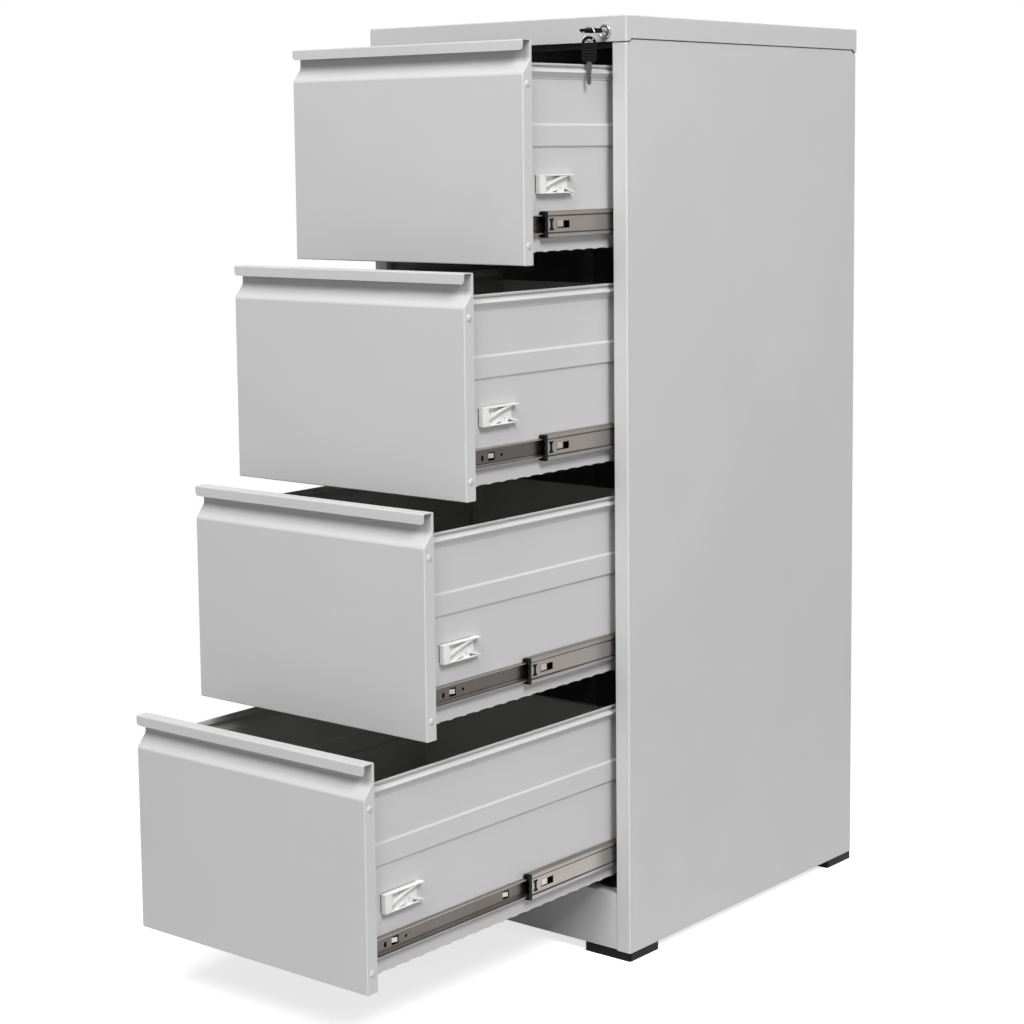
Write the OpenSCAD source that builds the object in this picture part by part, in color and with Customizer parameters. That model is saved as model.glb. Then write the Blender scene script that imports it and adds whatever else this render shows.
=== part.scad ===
// Four-drawer steel filing cabinet, about 1.3 m tall, with its drawers pulled out by different amounts.
// Millimetres. X is to the right seen from the front, Y is to the back, Z is up from the floor.

/* [Cabinet] */
// width over the cover
cabinet_w = 470; // [400:5:600]
// depth over the cover
cabinet_d = 600; // [500:5:800]
// height from the floor to the top of the cover
cabinet_h = 1320; // [1250:5:1500]
// thickness of the folded steel sheet
sheet = 1; // [0.7:0.1:1.5]
// gap left between two folded pieces that are fixed to each other
seam = 0.2; // [0.1:0.1:0.5]

/* [Side panels] */
// width of the flange on each side of the mouth
front_flange_w = 23.5; // [18:0.5:40]
// depth that the front flange is turned back by
flange_return = 10; // [5:1:20]
// width of the flange that holds the back panel
rear_flange_w = 20; // [12:1:30]
// width of the flange above the feet
bottom_flange_w = 26; // [15:1:40]
// outside radius of the long vertical corners
corner_r = 3; // [2:0.5:8]

/* [Cover] */
// height of the cover's front band, which holds the lock
front_band_h = 35; // [30:1:50]
// height of the cover's side bands
side_band_h = 31; // [20:1:45]
// length by which the tall band goes round each corner
band_wrap = 7; // [4:1:20]
// run of the slant between the two band heights
band_slant = 5; // [2:1:12]
// gap between a closed top drawer front and the back of the rail above it
rail_gap = 8.5; // [2:0.5:12]
// length by which the rail's back reaches down behind a closed top drawer front
rail_drop = 5; // [2:0.5:10]
// depth of the lip along the rail's lower edge
rail_lip = 8; // [4:1:15]

/* [Plinth and feet] */
// height of the panel under the lowest drawer
plinth_h = 81; // [50:1:120]
// depth of the plinth panel's two flanges
plinth_flange = 22; // [12:1:40]
// radius of the hole in the plinth panel's upper flange
plinth_hole_r = 2.5; // [1.5:0.5:4]
// distance of that hole from the end of the panel
plinth_hole_in = 9; // [6:1:40]
// height of the plastic feet
foot_h = 12; // [8:1:40]
// width of a foot across the cabinet
foot_w = 81; // [40:1:90]
// length of a foot from front to back
foot_l = 70; // [40:1:90]
// corner radius of a foot
foot_r = 4; // [4:1:20]
// wall of a foot around its two pockets
foot_wall = 3; // [2:0.5:6]
// height of the floor panel above the feet
floor_rise = 10; // [6:1:20]

/* [Drawer fronts] */
// distance from one drawer to the next
drawer_pitch = 296.5; // [280:0.5:330]
// height of a drawer front
front_h = 293; // [270:0.5:325]
// depth of a drawer front from its face to its back
front_t = 18.5; // [15:0.5:40]
// gap between the rivets on a drawer front and the side flanges
front_gap = 0.6; // [0.4:0.1:3]
// gap between the top drawer front and the cover's band
top_gap = 2; // [1:0.5:6]
// height of the flat face below the finger recess
face_h = 249; // [200:1:260]
// height of the slope at the bottom of the recess
slope_h = 18; // [10:1:30]
// depth of the finger recess
recess_d = 15; // [12:0.5:30]
// height of the lip that the fingers pull
lip_h = 14; // [8:1:22]
// radius of the lip's two lower corners
lip_r = 4; // [1:0.5:7]
// depth of the inner front panel's turned edges
inner_edge = 15; // [8:1:22]
// distance of the inner front's side edges below the slope
inner_drop = 12; // [4:1:40]
// height of the lower rivets above the bottom of a front
rivet_low = 26; // [15:1:60]
// height of the upper rivets above the bottom of a front
rivet_high = 236; // [150:1:240]
// radius of a rivet's domed head
rivet_r = 5; // [2.5:0.5:6]
// height of a rivet's domed head
rivet_dome = 1.4; // [0.5:0.1:2.5]

/* [Drawer boxes] */
// length by which a drawer box is longer than its runners
box_tail = 4; // [1.5:0.5:12]
// height of a side wall's lower edge above the bottom of the front
wall_low = 16; // [10:1:30]
// height of a side wall
wall_h = 247; // [150:1:250]
// height of the folded bead along the top of a side wall, with the lip above it
bead_h = 20; // [12:1:30]
// height of the upright lip above the bead
bead_lip = 6; // [3:0.5:10]
// depth by which the bead stands out of the wall
bead_d = 6; // [3:0.5:8]
// height of the long rib's lower edge above the bottom of the front
rib_z = 153; // [125:1:180]
// height of the long rib
rib_h = 32; // [15:1:60]
// height of the rib's slanted edges
rib_slant = 3.5; // [2:0.5:8]
// depth by which the rib stands out of the wall
rib_d = 2; // [1:0.5:4]
// width of the walls' turned ends
wall_return = 15; // [8:1:25]
// height of the lower end of the turned ends above the drawer floor
return_rise = 12; // [11:1:40]
// height of the drawer floor above the walls' lower edge
tray_rise = 3; // [2:0.5:10]
// height of the tray's turned-up side edges
tray_edge = 10; // [6:1:20]
// height of the drawer's back above the drawer floor
back_h = 226; // [100:1:230]
// depth of the hem along the top of the drawer's back
back_hem = 8; // [4:1:15]
// distance from one notch in a wall's lower edge to the next
notch_pitch = 27; // [15:1:60]
// length of a notch
notch_l = 17; // [5:1:25]
// height of a notch
notch_h = 1; // [0.5:0.5:2.5]
// least distance from the end of a wall to a notch
notch_in = 20; // [10:1:40]

/* [How far each drawer stands open] */
// top drawer, from closed
open_1 = 190; // [0:1:550]
// second drawer, from closed
open_2 = 312; // [0:1:550]
// third drawer, from closed
open_3 = 395; // [0:1:550]
// lowest drawer, from closed
open_4 = 512; // [0:1:550]
// middle members of the top drawer's runners, from closed
slid_1 = 152; // [0:0.5:240]
// middle members of the second drawer's runners
slid_2 = 157; // [0:0.5:240]
// middle members of the third drawer's runners
slid_3 = 196; // [0:0.5:240]
// middle members of the lowest drawer's runners
slid_4 = 199; // [0:0.5:240]

/* [Runners] */
// thickness of a runner, from the drawer's wall to the upright
runner_t = 12.7; // [10:0.1:20]
// height of the runner's centre above the bottom of the front
runner_z = 52.5; // [45:0.5:80]
// distance from the back ends of the runners to the back panel
runner_back = 32.2; // [10:0.1:150]
// length by which a middle member is shorter than the outer and the inner one
middle_short = 56; // [40:2:120]
// height of the outer member
outer_h = 45; // [40:1:55]
// height of the middle member
middle_h = 35; // [30:1:38]
// height of the inner member
inner_h = 25; // [18:1:27]
// thickness of the runner's steel
runner_steel = 1.2; // [0.8:0.1:1.5]
// gap between two members that slide past each other
slide_gap = 0.5; // [0.3:0.1:1]
// distance from the drawer's face to a closed runner's plastic stop
runner_set_back = 7.2; // [2:0.1:20]
// length of a ball cage
cage_l = 150; // [80:5:200]
// width of a ball cage
cage_w = 5; // [3:0.5:8]
// distance from the front end of a middle member to its inner ball cages
cage_front = 20; // [5:1:100]
// distance from the back end of a middle member to its outer ball cages
cage_back = 30; // [5:1:100]
// height by which the plastic stop's ears overlap the inner member's track
stop_lap = 1; // [0.5:0.5:1.5]
// length of the plastic stop on the front end of a middle member
stop_l = 7; // [4:0.5:12]
// width of an upright that carries the runners
upright_w = 36; // [25:1:60]
// distance from the mouth to the front uprights
upright_front = 31; // [15:1:60]
// distance from the rear uprights to the back ends of the runners
upright_rear = 23; // [5:1:120]
// radius of the rivet heads that hold the runners
runner_rivet_r = 4; // [2:0.5:6]
// height of the rivet heads that hold the runners
runner_rivet_h = 2; // [1:0.5:3]

/* [Lock catches on the drawers] */
// length of a catch
catch_l = 74; // [60:1:100]
// height of a catch
catch_h = 25; // [22:1:40]
// depth of a catch
catch_d = 9; // [6:0.5:10]
// wall of a catch
catch_wall = 1.6; // [1:0.1:3]
// distance from the drawer's face to the front end of the catch
catch_y = 39; // [30:1:80]
// height of the catch's lower edge above the bottom of the front
catch_z = 93; // [80:1:110]
// height of the ridge that the bar's pin drops behind
ridge_h = 9.5; // [6:0.5:12]
// height of the shorter ridge on the other side of the pin's slot
low_ridge_h = 6; // [4:0.5:8]
// length of the solid block at the front end of a catch
block_l = 11; // [8:0.5:16]
// thickness of the ramp across a catch
ramp_t = 3; // [2:0.5:4]
// length of the flat at the top of the ramp
ramp_top = 14; // [8:1:20]
// clearance on each side of a pin in its slot
slot_side = 2; // [1:0.5:3]

/* [Lock] */
// gap between the lock's nut and the side panel's flange
lock_side = 0.3; // [0.3:0.1:30]
// distance from the top of the cover to the lock
lock_down = 21; // [14:0.5:24]
// radius of the lock's bright rim
rim_r = 10; // [8:0.5:14]
// depth by which the rim stands out of the band
rim_t = 3.5; // [1.5:0.5:6]
// radius of the lock's barrel
barrel_r = 8.5; // [7.5:0.5:11]
// length of the barrel behind the band
barrel_l = 17; // [12:1:30]
// radius of the turning plug
plug_r = 6; // [5.5:0.1:7]
// running clearance around the plug
plug_gap = 0.3; // [0.1:0.05:0.5]
// thickness of the lock's nut
nut_t = 3; // [2:0.5:5]
// width of the nut around the barrel
nut_lip = 1.5; // [1:0.5:4]
// distance from the barrel's end to the cam
cam_set = 3; // [1:0.5:6]
// thickness of the cam, and of the bar's slotted plate
plate_t = 2; // [1.5:0.5:3]
// width of the cam around the plug
cam_lip = 2; // [1:0.5:3]
// radius of the cam's stud
stud_r = 2; // [1.5:0.5:2.5]
// distance that the locking bar moves down when the key is turned
bar_travel = 8; // [5:0.5:10]
// width of the locking bar
bar_w = 14; // [8:1:25]
// thickness of the locking bar
bar_t = 3; // [2:0.5:5]
// height of the arm that joins the bar to the lock
arm_h = 12; // [9:1:20]
// height of the arm's upper edge above the cam's stud
arm_rise = 6; // [4:0.5:8]
// width of the plate beside the stud's slot
slot_rim = 4; // [2:0.5:8]
// length of the bar below its lowest pin
bar_tail = 22; // [6:1:60]
// radius of the bar's pins
pin_r = 2.5; // [1.5:0.5:3]
// clearance of a pin over the ridge while the lock is open
pin_over = 1.3; // [0.5:0.1:3]
// clearance between a pin's tip and the flat of the catch
pin_tip = 1; // [0.5:0.1:3]
// height of a guide for the locking bar
guide_h = 16; // [8:1:30]
// wall of a guide
guide_wall = 1.6; // [1:0.1:3]
// height of a guide above the bottom of the drawer front beside it
guide_z = 205; // [150:1:260]
// clearance around the bar, the pins and the cam's stud
bar_gap = 0.4; // [0.3:0.1:1]

/* [Keys] */
// length of the blade that shows between the lock's rim and the key's head
key_out = 14; // [3:0.5:16]
// length of a key's plastic head
head_l = 34; // [28:1:45]
// width of a key's plastic head
head_w = 20; // [18:0.5:26]
// thickness of the head where it is gripped
head_t = 6; // [4:0.5:7]
// thickness of the head around its hole
head_end_t = 3; // [2:0.5:4]
// width of plastic outside the hole
head_web = 4; // [3:0.5:5]
// length of a key's blade
blade_l = 31; // [22:1:40]
// width of a key's blade
blade_w = 6.5; // [5:0.5:8]
// thickness of a key's blade
blade_t = 2; // [1.5:0.1:2.5]
// middle radius of the key ring
ring_r = 9.5; // [9:0.5:12]
// radius of the key ring's wire
wire_r = 0.8; // [0.5:0.1:1]
// distance of the ring's middle to the right of the key in the lock
ring_side = 6.3; // [5.5:0.1:8]
// distance of the ring's middle below the key in the lock
ring_drop = 5.6; // [4.5:0.1:6]
// distance of the ring's wire from the outer edge of the hanging key's hole
ring_seat = 3.1; // [2:0.1:4]
// angle that the hanging key is turned by, seen from above
spare_turn = 32; // [30:1:60]

/* [Hidden] */

open_by = [open_1, open_2, open_3, open_4];
slid_by = [slid_1, slid_2, slid_3, slid_4];

// the cover fits round the case, so the case is one sheet and one seam smaller on every side
case_x = cabinet_w / 2 - sheet - seam;
case_y = cabinet_d / 2 - sheet - seam;
case_top = cabinet_h - sheet - seam;
mouth_x = case_x - front_flange_w;
front_x = mouth_x - front_gap - rivet_dome;
// a closed runner's middle member reaches into the front, beside the front's side flange
inner_w = runner_t - 2 * runner_steel - 2 * slide_gap;
middle_out = runner_t - runner_steel - slide_gap;
wall_x = front_x - sheet - slide_gap - middle_out;
back_y = case_y - sheet - seam;
// the runners' outer members lie behind a closed drawer's front
outer_start = -case_y + front_t + seam;
outer_end = back_y - sheet - runner_back;
runner_l = outer_end - outer_start;
middle_l = runner_l - middle_short;
box_l = runner_l + box_tail;
floor_z = foot_h + floor_rise;
under_z = foot_h + sheet + seam;

// bottom edge of each drawer front, from the top drawer down
top_front_z = cabinet_h - front_band_h - top_gap - front_h;
function drawer_z(n) = top_front_z - (n - 1) * drawer_pitch;

// the part stands with the middle of its outline, drawers open, over the origin
front_reach = case_y + max(open_1, open_2, open_3, open_4);
stand_y = (front_reach - cabinet_d / 2) / 2;

nut_r = barrel_r + nut_lip;
lock_cx = mouth_x - lock_side - nut_r;
lock_cz = cabinet_h - lock_down;
band_y = -cabinet_d / 2;
// the cam's stud swings round the left of the lock, from 45 degrees above level to 45 degrees below
stud_reach = bar_travel / sqrt(2);
stud_side = stud_reach * cos(45);
stud_up = stud_reach * sin(45);
cam_y = band_y + barrel_l + cam_set;
slot_plate_y = cam_y + plate_t + slide_gap;
plate_back = slot_plate_y + plate_t;

// the pin lies this far in front of a catch's open end when the drawer is shut
pin_in = 0.4 * catch_l;
pin_y = -case_y + catch_y + catch_l - pin_in;
// height of the pin above the catch's lower edge while the lock is open
pin_up = ridge_h + pin_over + pin_r;
bar_x = wall_x + runner_t + slide_gap;
bar_low = drawer_z(4) + catch_z + pin_up - bar_tail;
bar_high = lock_cz + stud_up + arm_rise;

steel = [0.77, 0.78, 0.78];
zinc = [0.62, 0.61, 0.58];
chrome = [0.82, 0.82, 0.84];
white = [0.93, 0.93, 0.92];
black = [0.07, 0.07, 0.07];

// a box between two corners
module block(low, high)
  translate(low)
    cube(high - low);

// a section drawn in Y and Z, carried along X
module along_x(x0, x1)
  translate([x0, 0, 0])
    rotate([90, 0, 90])
      linear_extrude(height = x1 - x0)
        children();

// a section drawn in X and Z, carried along Y
module along_y(y0, y1)
  translate([0, y1, 0])
    rotate([90, 0, 0])
      linear_extrude(height = y1 - y0)
        children();

// a round bar along Y
module rod_y(r, y0, y1, fn = 48)
  translate([0, y0, 0])
    rotate([-90, 0, 0])
      cylinder(r = r, h = y1 - y0, $fn = fn);

// a round bar along X
module rod_x(r, x0, x1, fn = 32)
  translate([x0, 0, 0])
    rotate([0, 90, 0])
      cylinder(r = r, h = x1 - x0, $fn = fn);

module both_sides() {
  children();
  mirror([1, 0, 0])
    children();
}

// puts the finished piece where the part stands
module stand()
  translate([0, stand_y, 0])
    children();

// a drawer's pieces are drawn from the middle of its face and the bottom of its front
module drawer_place(n)
  stand()
    translate([0, -case_y - open_by[n - 1], drawer_z(n)])
      children();

// a runner's sliding pieces are drawn where they lie with the drawer shut
module runner_place(n)
  stand()
    translate([0, -case_y - slid_by[n - 1], drawer_z(n)])
      children();

// The case.

// section of a side panel seen from above, with its outer corner at the front rounded
module side_section() {
  translate([case_x - sheet, -case_y + corner_r])
    square([sheet, 2 * case_y - corner_r]);
  translate([mouth_x, -case_y])
    square([front_flange_w - corner_r, sheet]);
  translate([case_x - corner_r, -case_y + corner_r])
    intersection() {
      difference() {
        circle(r = corner_r, $fn = 32);
        circle(r = corner_r - sheet, $fn = 32);
      }
      translate([0, -corner_r])
        square(corner_r);
    }
  translate([mouth_x, -case_y])
    square([sheet, flange_return]);
  translate([case_x - rear_flange_w, case_y - sheet])
    square([rear_flange_w, sheet]);
}

module side_panel() {
  translate([0, 0, foot_h])
    linear_extrude(height = case_top - foot_h)
      side_section();
  block([case_x - bottom_flange_w, -case_y + sheet, foot_h],
        [case_x - sheet, case_y - sheet, foot_h + sheet]);
}

module side_panel_right()
  color(steel)
    stand()
      side_panel();

module side_panel_left()
  color(steel)
    stand()
      mirror([1, 0, 0])
        side_panel();

module back_panel()
  color(steel)
    stand()
      block([-case_x + sheet + seam, back_y - sheet, floor_z + seam],
            [case_x - sheet - seam, back_y, case_top - seam]);

// outline of one side band of the cover, drawn in Y and Z
module side_band_outline() {
  half = cabinet_d / 2;
  tall = cabinet_h - front_band_h;
  short = cabinet_h - side_band_h;
  polygon([
    [-half, tall],
    [-half + band_wrap, tall],
    [-half + band_wrap + band_slant, short],
    [half - band_wrap - band_slant, short],
    [half - band_wrap, tall],
    [half, tall],
    [half, cabinet_h],
    [-half, cabinet_h]
  ]);
}

module lock_hole(y0, y1)
  translate([lock_cx, 0, lock_cz])
    rod_y(barrel_r + seam, y0, y1);

module top_cover()
  color(steel)
    stand() {
      half_w = cabinet_w / 2;
      half_d = cabinet_d / 2;
      block([-half_w, -half_d, cabinet_h - sheet], [half_w, half_d, cabinet_h]);
      both_sides()
        along_x(half_w - sheet, half_w)
          side_band_outline();
      difference() {
        block([-half_w, -half_d, cabinet_h - front_band_h], [half_w, -half_d + sheet, cabinet_h]);
        lock_hole(-half_d - 1, -half_d + sheet + 1);
      }
      block([-half_w, half_d - sheet, cabinet_h - front_band_h], [half_w, half_d, cabinet_h]);
    }

// channel behind the cover's front band: it stiffens the band and holds the lock
module top_rail()
  color(steel)
    stand() {
      low = cabinet_h - front_band_h + sheet;
      lip_z = top_front_z + front_h - rail_drop;
      face = -case_y;
      depth = front_t + rail_gap;
      high = case_top - seam;
      difference() {
        block([-mouth_x + seam, face, low], [mouth_x - seam, face + sheet, high]);
        lock_hole(face - 1, face + sheet + 1);
      }
      block([-wall_x, face, high - sheet], [wall_x, face + depth, high]);
      block([-wall_x, face + depth - sheet, lip_z], [wall_x, face + depth, high]);
      block([-wall_x, face + depth - sheet, lip_z], [wall_x, face + depth + rail_lip, lip_z + sheet]);
    }

module floor_panel()
  color(steel)
    stand() {
      edge_x = case_x - sheet - seam;
      front = -case_y + sheet + seam + plinth_flange + seam;
      back = back_y - seam;
      block([-edge_x, front, floor_z - sheet], [edge_x, back, floor_z]);
      both_sides()
        block([edge_x - sheet, front, under_z], [edge_x, back, floor_z]);
      block([-edge_x, front, under_z], [edge_x, front + sheet, floor_z]);
      block([-edge_x, back - sheet, under_z], [edge_x, back, floor_z]);
    }

module plinth_panel()
  color(steel)
    stand() {
      edge_x = mouth_x - seam;
      face = -case_y + sheet + seam;
      top = under_z + plinth_h;
      block([-edge_x, face, under_z], [edge_x, face + sheet, top]);
      block([-edge_x, face, under_z], [edge_x, face + plinth_flange, under_z + sheet]);
      difference() {
        block([-edge_x, face, top - sheet], [edge_x, face + plinth_flange, top]);
        both_sides()
          translate([edge_x - plinth_hole_in, face + plinth_flange / 2, top - sheet - 1])
            cylinder(r = plinth_hole_r, h = sheet + 2, $fn = 24);
      }
    }

// one upright channel: its web faces the drawers and carries the runners
module upright(y0) {
  web = wall_x + runner_t;
  reach = case_x - sheet - seam;
  top = top_front_z + front_h;
  block([web, y0, floor_z], [web + runner_steel, y0 + upright_w, top]);
  block([web, y0, floor_z], [reach, y0 + runner_steel, top]);
  block([web, y0 + upright_w - runner_steel, floor_z], [reach, y0 + upright_w, top]);
}

upright_ys = [-case_y + upright_front, outer_end - upright_rear - upright_w];

module runner_uprights()
  color(steel)
    stand()
      both_sides()
        for (y = upright_ys)
          upright(y);

module foot_outline(inset)
  translate([inset, inset]) {
    w = foot_w - 2 * inset;
    l = foot_l - 2 * inset;
    r = foot_r - inset;
    translate([r, 0])
      square([w - 2 * r, l]);
    translate([0, r])
      square([w, l - 2 * r]);
    for (x = [r, w - r], y = [r, l - r])
      translate([x, y])
        circle(r = r, $fn = 32);
  }

// a moulded foot: a flat pad with its two pockets open upwards and a rib between them
module foot()
  difference() {
    linear_extrude(height = foot_h)
      foot_outline(0);
    translate([0, 0, foot_wall])
      linear_extrude(height = foot_h)
        difference() {
          foot_outline(foot_wall);
          translate([0, foot_l / 2 - foot_wall / 2])
            square([foot_w, foot_wall]);
        }
  }

module feet()
  color(black)
    stand()
      both_sides() {
        translate([case_x - foot_w, -case_y, 0])
          foot();
        translate([case_x - foot_w, case_y - foot_l, 0])
          foot();
      }

// The telescopic runners: w runs outwards from the drawer's wall, h is from the runner's centre.

// a channel section: a web at w0 with a flange at its top and bottom that reaches to w1
module channel(w0, w1, tall) {
  low = min(w0, w1);
  span = abs(w1 - w0);
  web = w1 > w0 ? w0 : w0 - runner_steel;
  translate([web, -tall / 2])
    square([runner_steel, tall]);
  for (h = [-tall / 2, tall / 2 - runner_steel])
    translate([low, h])
      square([span, runner_steel]);
}

module runner_outer_members()
  color(zinc)
    stand()
      both_sides()
        for (n = [1:4])
          translate([wall_x, 0, drawer_z(n) + runner_z])
            along_y(outer_start, outer_end)
              channel(runner_t, 2 * runner_steel, outer_h);

module middle_members(n)
  color(zinc)
    runner_place(n)
      both_sides()
        translate([wall_x, 0, runner_z])
          along_y(runner_set_back + stop_l, runner_set_back + stop_l + middle_l)
            channel(middle_out, runner_steel, middle_h);

// plastic ball cages, and the plastic stop on each middle member's front end
module cages(n)
  color(black)
    runner_place(n)
      both_sides()
        translate([wall_x, 0, runner_z]) {
          stop_y = runner_set_back;
          start = stop_y + stop_l;
          track = runner_steel + slide_gap;
          mid = middle_h / 2;
          in = inner_h / 2;
          for (s = [-1, 1]) {
            // between the outer and the middle member, in the rear half
            along_y(start + middle_l - cage_l - cage_back, start + middle_l - cage_back)
              translate([track + cage_w / 2, s * (mid + outer_h / 2 - runner_steel) / 2])
                square([cage_w, outer_h / 2 - runner_steel - mid - 2 * slide_gap], center = true);
            // between the middle and the inner member, in the front half
            along_y(start + cage_front, start + cage_front + cage_l)
              translate([track + cage_w / 2, s * (in + mid - runner_steel) / 2])
                square([cage_w, mid - runner_steel - in - 2 * slide_gap], center = true);
            // upper and lower ear of the stop
            along_y(stop_y, start)
              translate([(middle_out + runner_steel) / 2, s * (mid + in + slide_gap + stop_lap) / 2])
                square([middle_out - runner_steel, mid + stop_lap - in - slide_gap], center = true);
          }
          // bar of the stop that joins its two ears
          block([inner_w + slide_gap, stop_y, -mid], [middle_out, start, mid]);
        }

// One drawer.

// section of the front's folded skin, drawn in depth behind the face and height
module front_skin_section()
  polygon([
    [0, 0],
    [0, face_h],
    [recess_d, face_h + slope_h],
    [recess_d, front_h - sheet],
    [sheet, front_h - sheet],
    [sheet, front_h - lip_h],
    [0, front_h - lip_h],
    [0, front_h],
    [front_t, front_h],
    [front_t, front_h - sheet],
    [recess_d + sheet, front_h - sheet],
    [recess_d + sheet, face_h + slope_h - sheet / 2],
    [sheet, face_h - sheet / 2],
    [sheet, 0]
  ]);

module front_end_section()
  polygon([
    [0, 0],
    [0, face_h],
    [recess_d, face_h + slope_h],
    [recess_d, front_h],
    [front_t, front_h],
    [front_t, 0]
  ]);

// what is cut from the lip's lower corner, with the corner at the origin
module lip_corner()
  translate([-lip_r, -1, -0.01])
    difference() {
      block([0, 0, 0], [lip_r + 1, sheet + 2, lip_r]);
      translate([0, 0, lip_r])
        rod_y(lip_r, -1, sheet + 4, 32);
    }

module drawer_front(n)
  color(steel)
    drawer_place(n) {
      difference() {
        along_x(-front_x, front_x)
          front_skin_section();
        both_sides()
          translate([front_x, 0, front_h - lip_h])
            lip_corner();
      }
      both_sides()
        along_x(front_x - sheet, front_x)
          front_end_section();
      block([-front_x, 0, 0], [front_x, front_t, sheet]);
    }

// it is only as wide as the drawer box, so that the runners can reach into the front beside it
module inner_front(n)
  color(steel)
    drawer_place(n) {
      low = sheet + seam;
      high = face_h - inner_drop;
      block([-wall_x, front_t - sheet, low], [wall_x, front_t, front_h - sheet - seam]);
      both_sides()
        block([wall_x - sheet, front_t - inner_edge, low], [wall_x, front_t, high]);
      block([-wall_x, front_t - inner_edge, low], [wall_x, front_t, low + sheet]);
    }

// outer outline of a side wall, drawn outwards from the wall and up from its lower edge
bead_low = wall_h - bead_h;
bead_peak = bead_low + (bead_h - bead_lip) * 0.56;
bead_top = wall_h - bead_lip;
rib_low = rib_z - wall_low;
wall_line = [
  [0, 0],
  [0, rib_low],
  [rib_d, rib_low + rib_slant],
  [rib_d, rib_low + rib_h - rib_slant],
  [0, rib_low + rib_h],
  [0, bead_low],
  [bead_d, bead_peak],
  [1, bead_top],
  [1, wall_h]
];

module wall_section()
  polygon(concat(
    wall_line,
    [for (i = [len(wall_line) - 1:-1:0]) wall_line[i] - [sheet, 0]]
  ));

notch_count = floor((box_l - 2 * notch_in - notch_l) / notch_pitch) + 1;

module drawer_wall() {
  difference() {
    translate([wall_x, 0, wall_low])
      along_y(front_t, front_t + box_l)
        wall_section();
    for (i = [0:notch_count - 1])
      block([wall_x - sheet - 1, front_t + notch_in + i * notch_pitch, wall_low - 1],
            [wall_x + 1, front_t + notch_in + i * notch_pitch + notch_l, wall_low + notch_h]);
  }
  block([wall_x - wall_return, front_t, wall_low + tray_rise + return_rise],
        [wall_x - sheet, front_t + sheet, wall_low + bead_low]);
  block([wall_x - wall_return, front_t + box_l - sheet, wall_low + tray_rise + return_rise],
        [wall_x - sheet, front_t + box_l, wall_low + bead_low]);
}

module right_wall(n)
  color(steel)
    drawer_place(n)
      drawer_wall();

module left_wall(n)
  color(steel)
    drawer_place(n)
      mirror([1, 0, 0])
        drawer_wall();

// floor and back of a drawer, folded from one sheet
module tray(n)
  color(steel)
    drawer_place(n) {
      edge_x = wall_x - sheet - seam;
      low = wall_low + tray_rise;
      front = front_t + sheet + seam;
      back = front_t + box_l - sheet - seam;
      block([-edge_x, front, low], [edge_x, back, low + sheet]);
      both_sides()
        block([edge_x - sheet, front, low], [edge_x, back, low + tray_edge]);
      block([-edge_x, back - sheet, low], [edge_x, back, low + back_h]);
      block([-edge_x, back - back_hem, low + back_h - sheet], [edge_x, back, low + back_h]);
    }

module inner_members(n)
  color(zinc)
    drawer_place(n)
      both_sides()
        translate([wall_x, 0, runner_z])
          along_y(front_t, front_t + runner_l)
            channel(0, inner_w, inner_h);

// catch on the right wall, drawn from its front lower corner: the bar's pin comes in at the back end,
// passes over the ridge and drops behind it when the lock is turned
module catch_part(n)
  color(white)
    drawer_place(n)
      translate([wall_x, catch_y, catch_z])
        rotate([90, 0, 90]) {
          half_slot = pin_r + slot_side;
          pin_at = catch_l - pin_in;
          ramp_low = catch_h * 0.36;
          linear_extrude(height = catch_wall)
            square([catch_l, catch_h]);
          linear_extrude(height = catch_d) {
            square([catch_l, catch_wall]);
            translate([0, catch_h - catch_wall])
              square([catch_l, catch_wall]);
            square([block_l, catch_h]);
            // long ramp from the lower front to the upper back
            polygon([
              [block_l - 1, ramp_low],
              [catch_l - ramp_top / 2, catch_h - catch_wall],
              [catch_l - ramp_top / 2, catch_h],
              [catch_l - 3 * ramp_top / 2, catch_h],
              [block_l - 1, ramp_low + ramp_t]
            ]);
            // rising side of the ridge, at the back
            polygon([
              [catch_l, 0],
              [catch_l, catch_wall],
              [pin_at + half_slot, ridge_h],
              [pin_at + half_slot, 0]
            ]);
            // falling side of the ridge, in front of the slot that the pin drops into
            polygon([
              [block_l, 0],
              [pin_at - half_slot, 0],
              [pin_at - half_slot, low_ridge_h],
              [block_l + 4, catch_wall]
            ]);
          }
        }

// a rivet's low dome, turned from a quarter of an ellipse, with its flat face at the origin
module dome()
  rotate([0, 90, 0])
    rotate_extrude($fn = 64)
      polygon(concat([[0, 0]], [for (a = [0:22.5:90]) [rivet_r * cos(a), rivet_dome * sin(a)]]));

module front_rivets(n)
  color(steel)
    drawer_place(n)
      both_sides()
        for (z = [rivet_low, rivet_high])
          translate([front_x, front_t / 2, z])
            dome();

// Fixings.

module cabinet_fixings()
  color(zinc)
    stand()
      both_sides()
        for (n = [1:4], y = upright_ys)
          translate([wall_x + runner_t + runner_steel, y + upright_w / 2, drawer_z(n) + runner_z])
            rod_x(runner_rivet_r, 0, runner_rivet_h, 24);

// The lock.

module lock_housing()
  color(chrome)
    stand()
      translate([lock_cx, 0, lock_cz])
        difference() {
          union() {
            rod_y(rim_r, band_y - rim_t, band_y);
            rod_y(barrel_r, band_y, band_y + barrel_l);
            rod_y(nut_r, -case_y + sheet, -case_y + sheet + nut_t);
          }
          rod_y(plug_r + plug_gap, band_y - rim_t - 1, band_y + barrel_l + 1);
        }

module lock_plug()
  color(chrome)
    stand()
      translate([lock_cx, 0, lock_cz])
        difference() {
          rod_y(plug_r, band_y - rim_t - 0.5, cam_y);
          block([-blade_w / 2 - seam, band_y - rim_t - 1, -blade_t / 2 - seam],
                [blade_w / 2 + seam, key_end_y + head_l + blade_l + seam, blade_t / 2 + seam]);
        }

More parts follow.
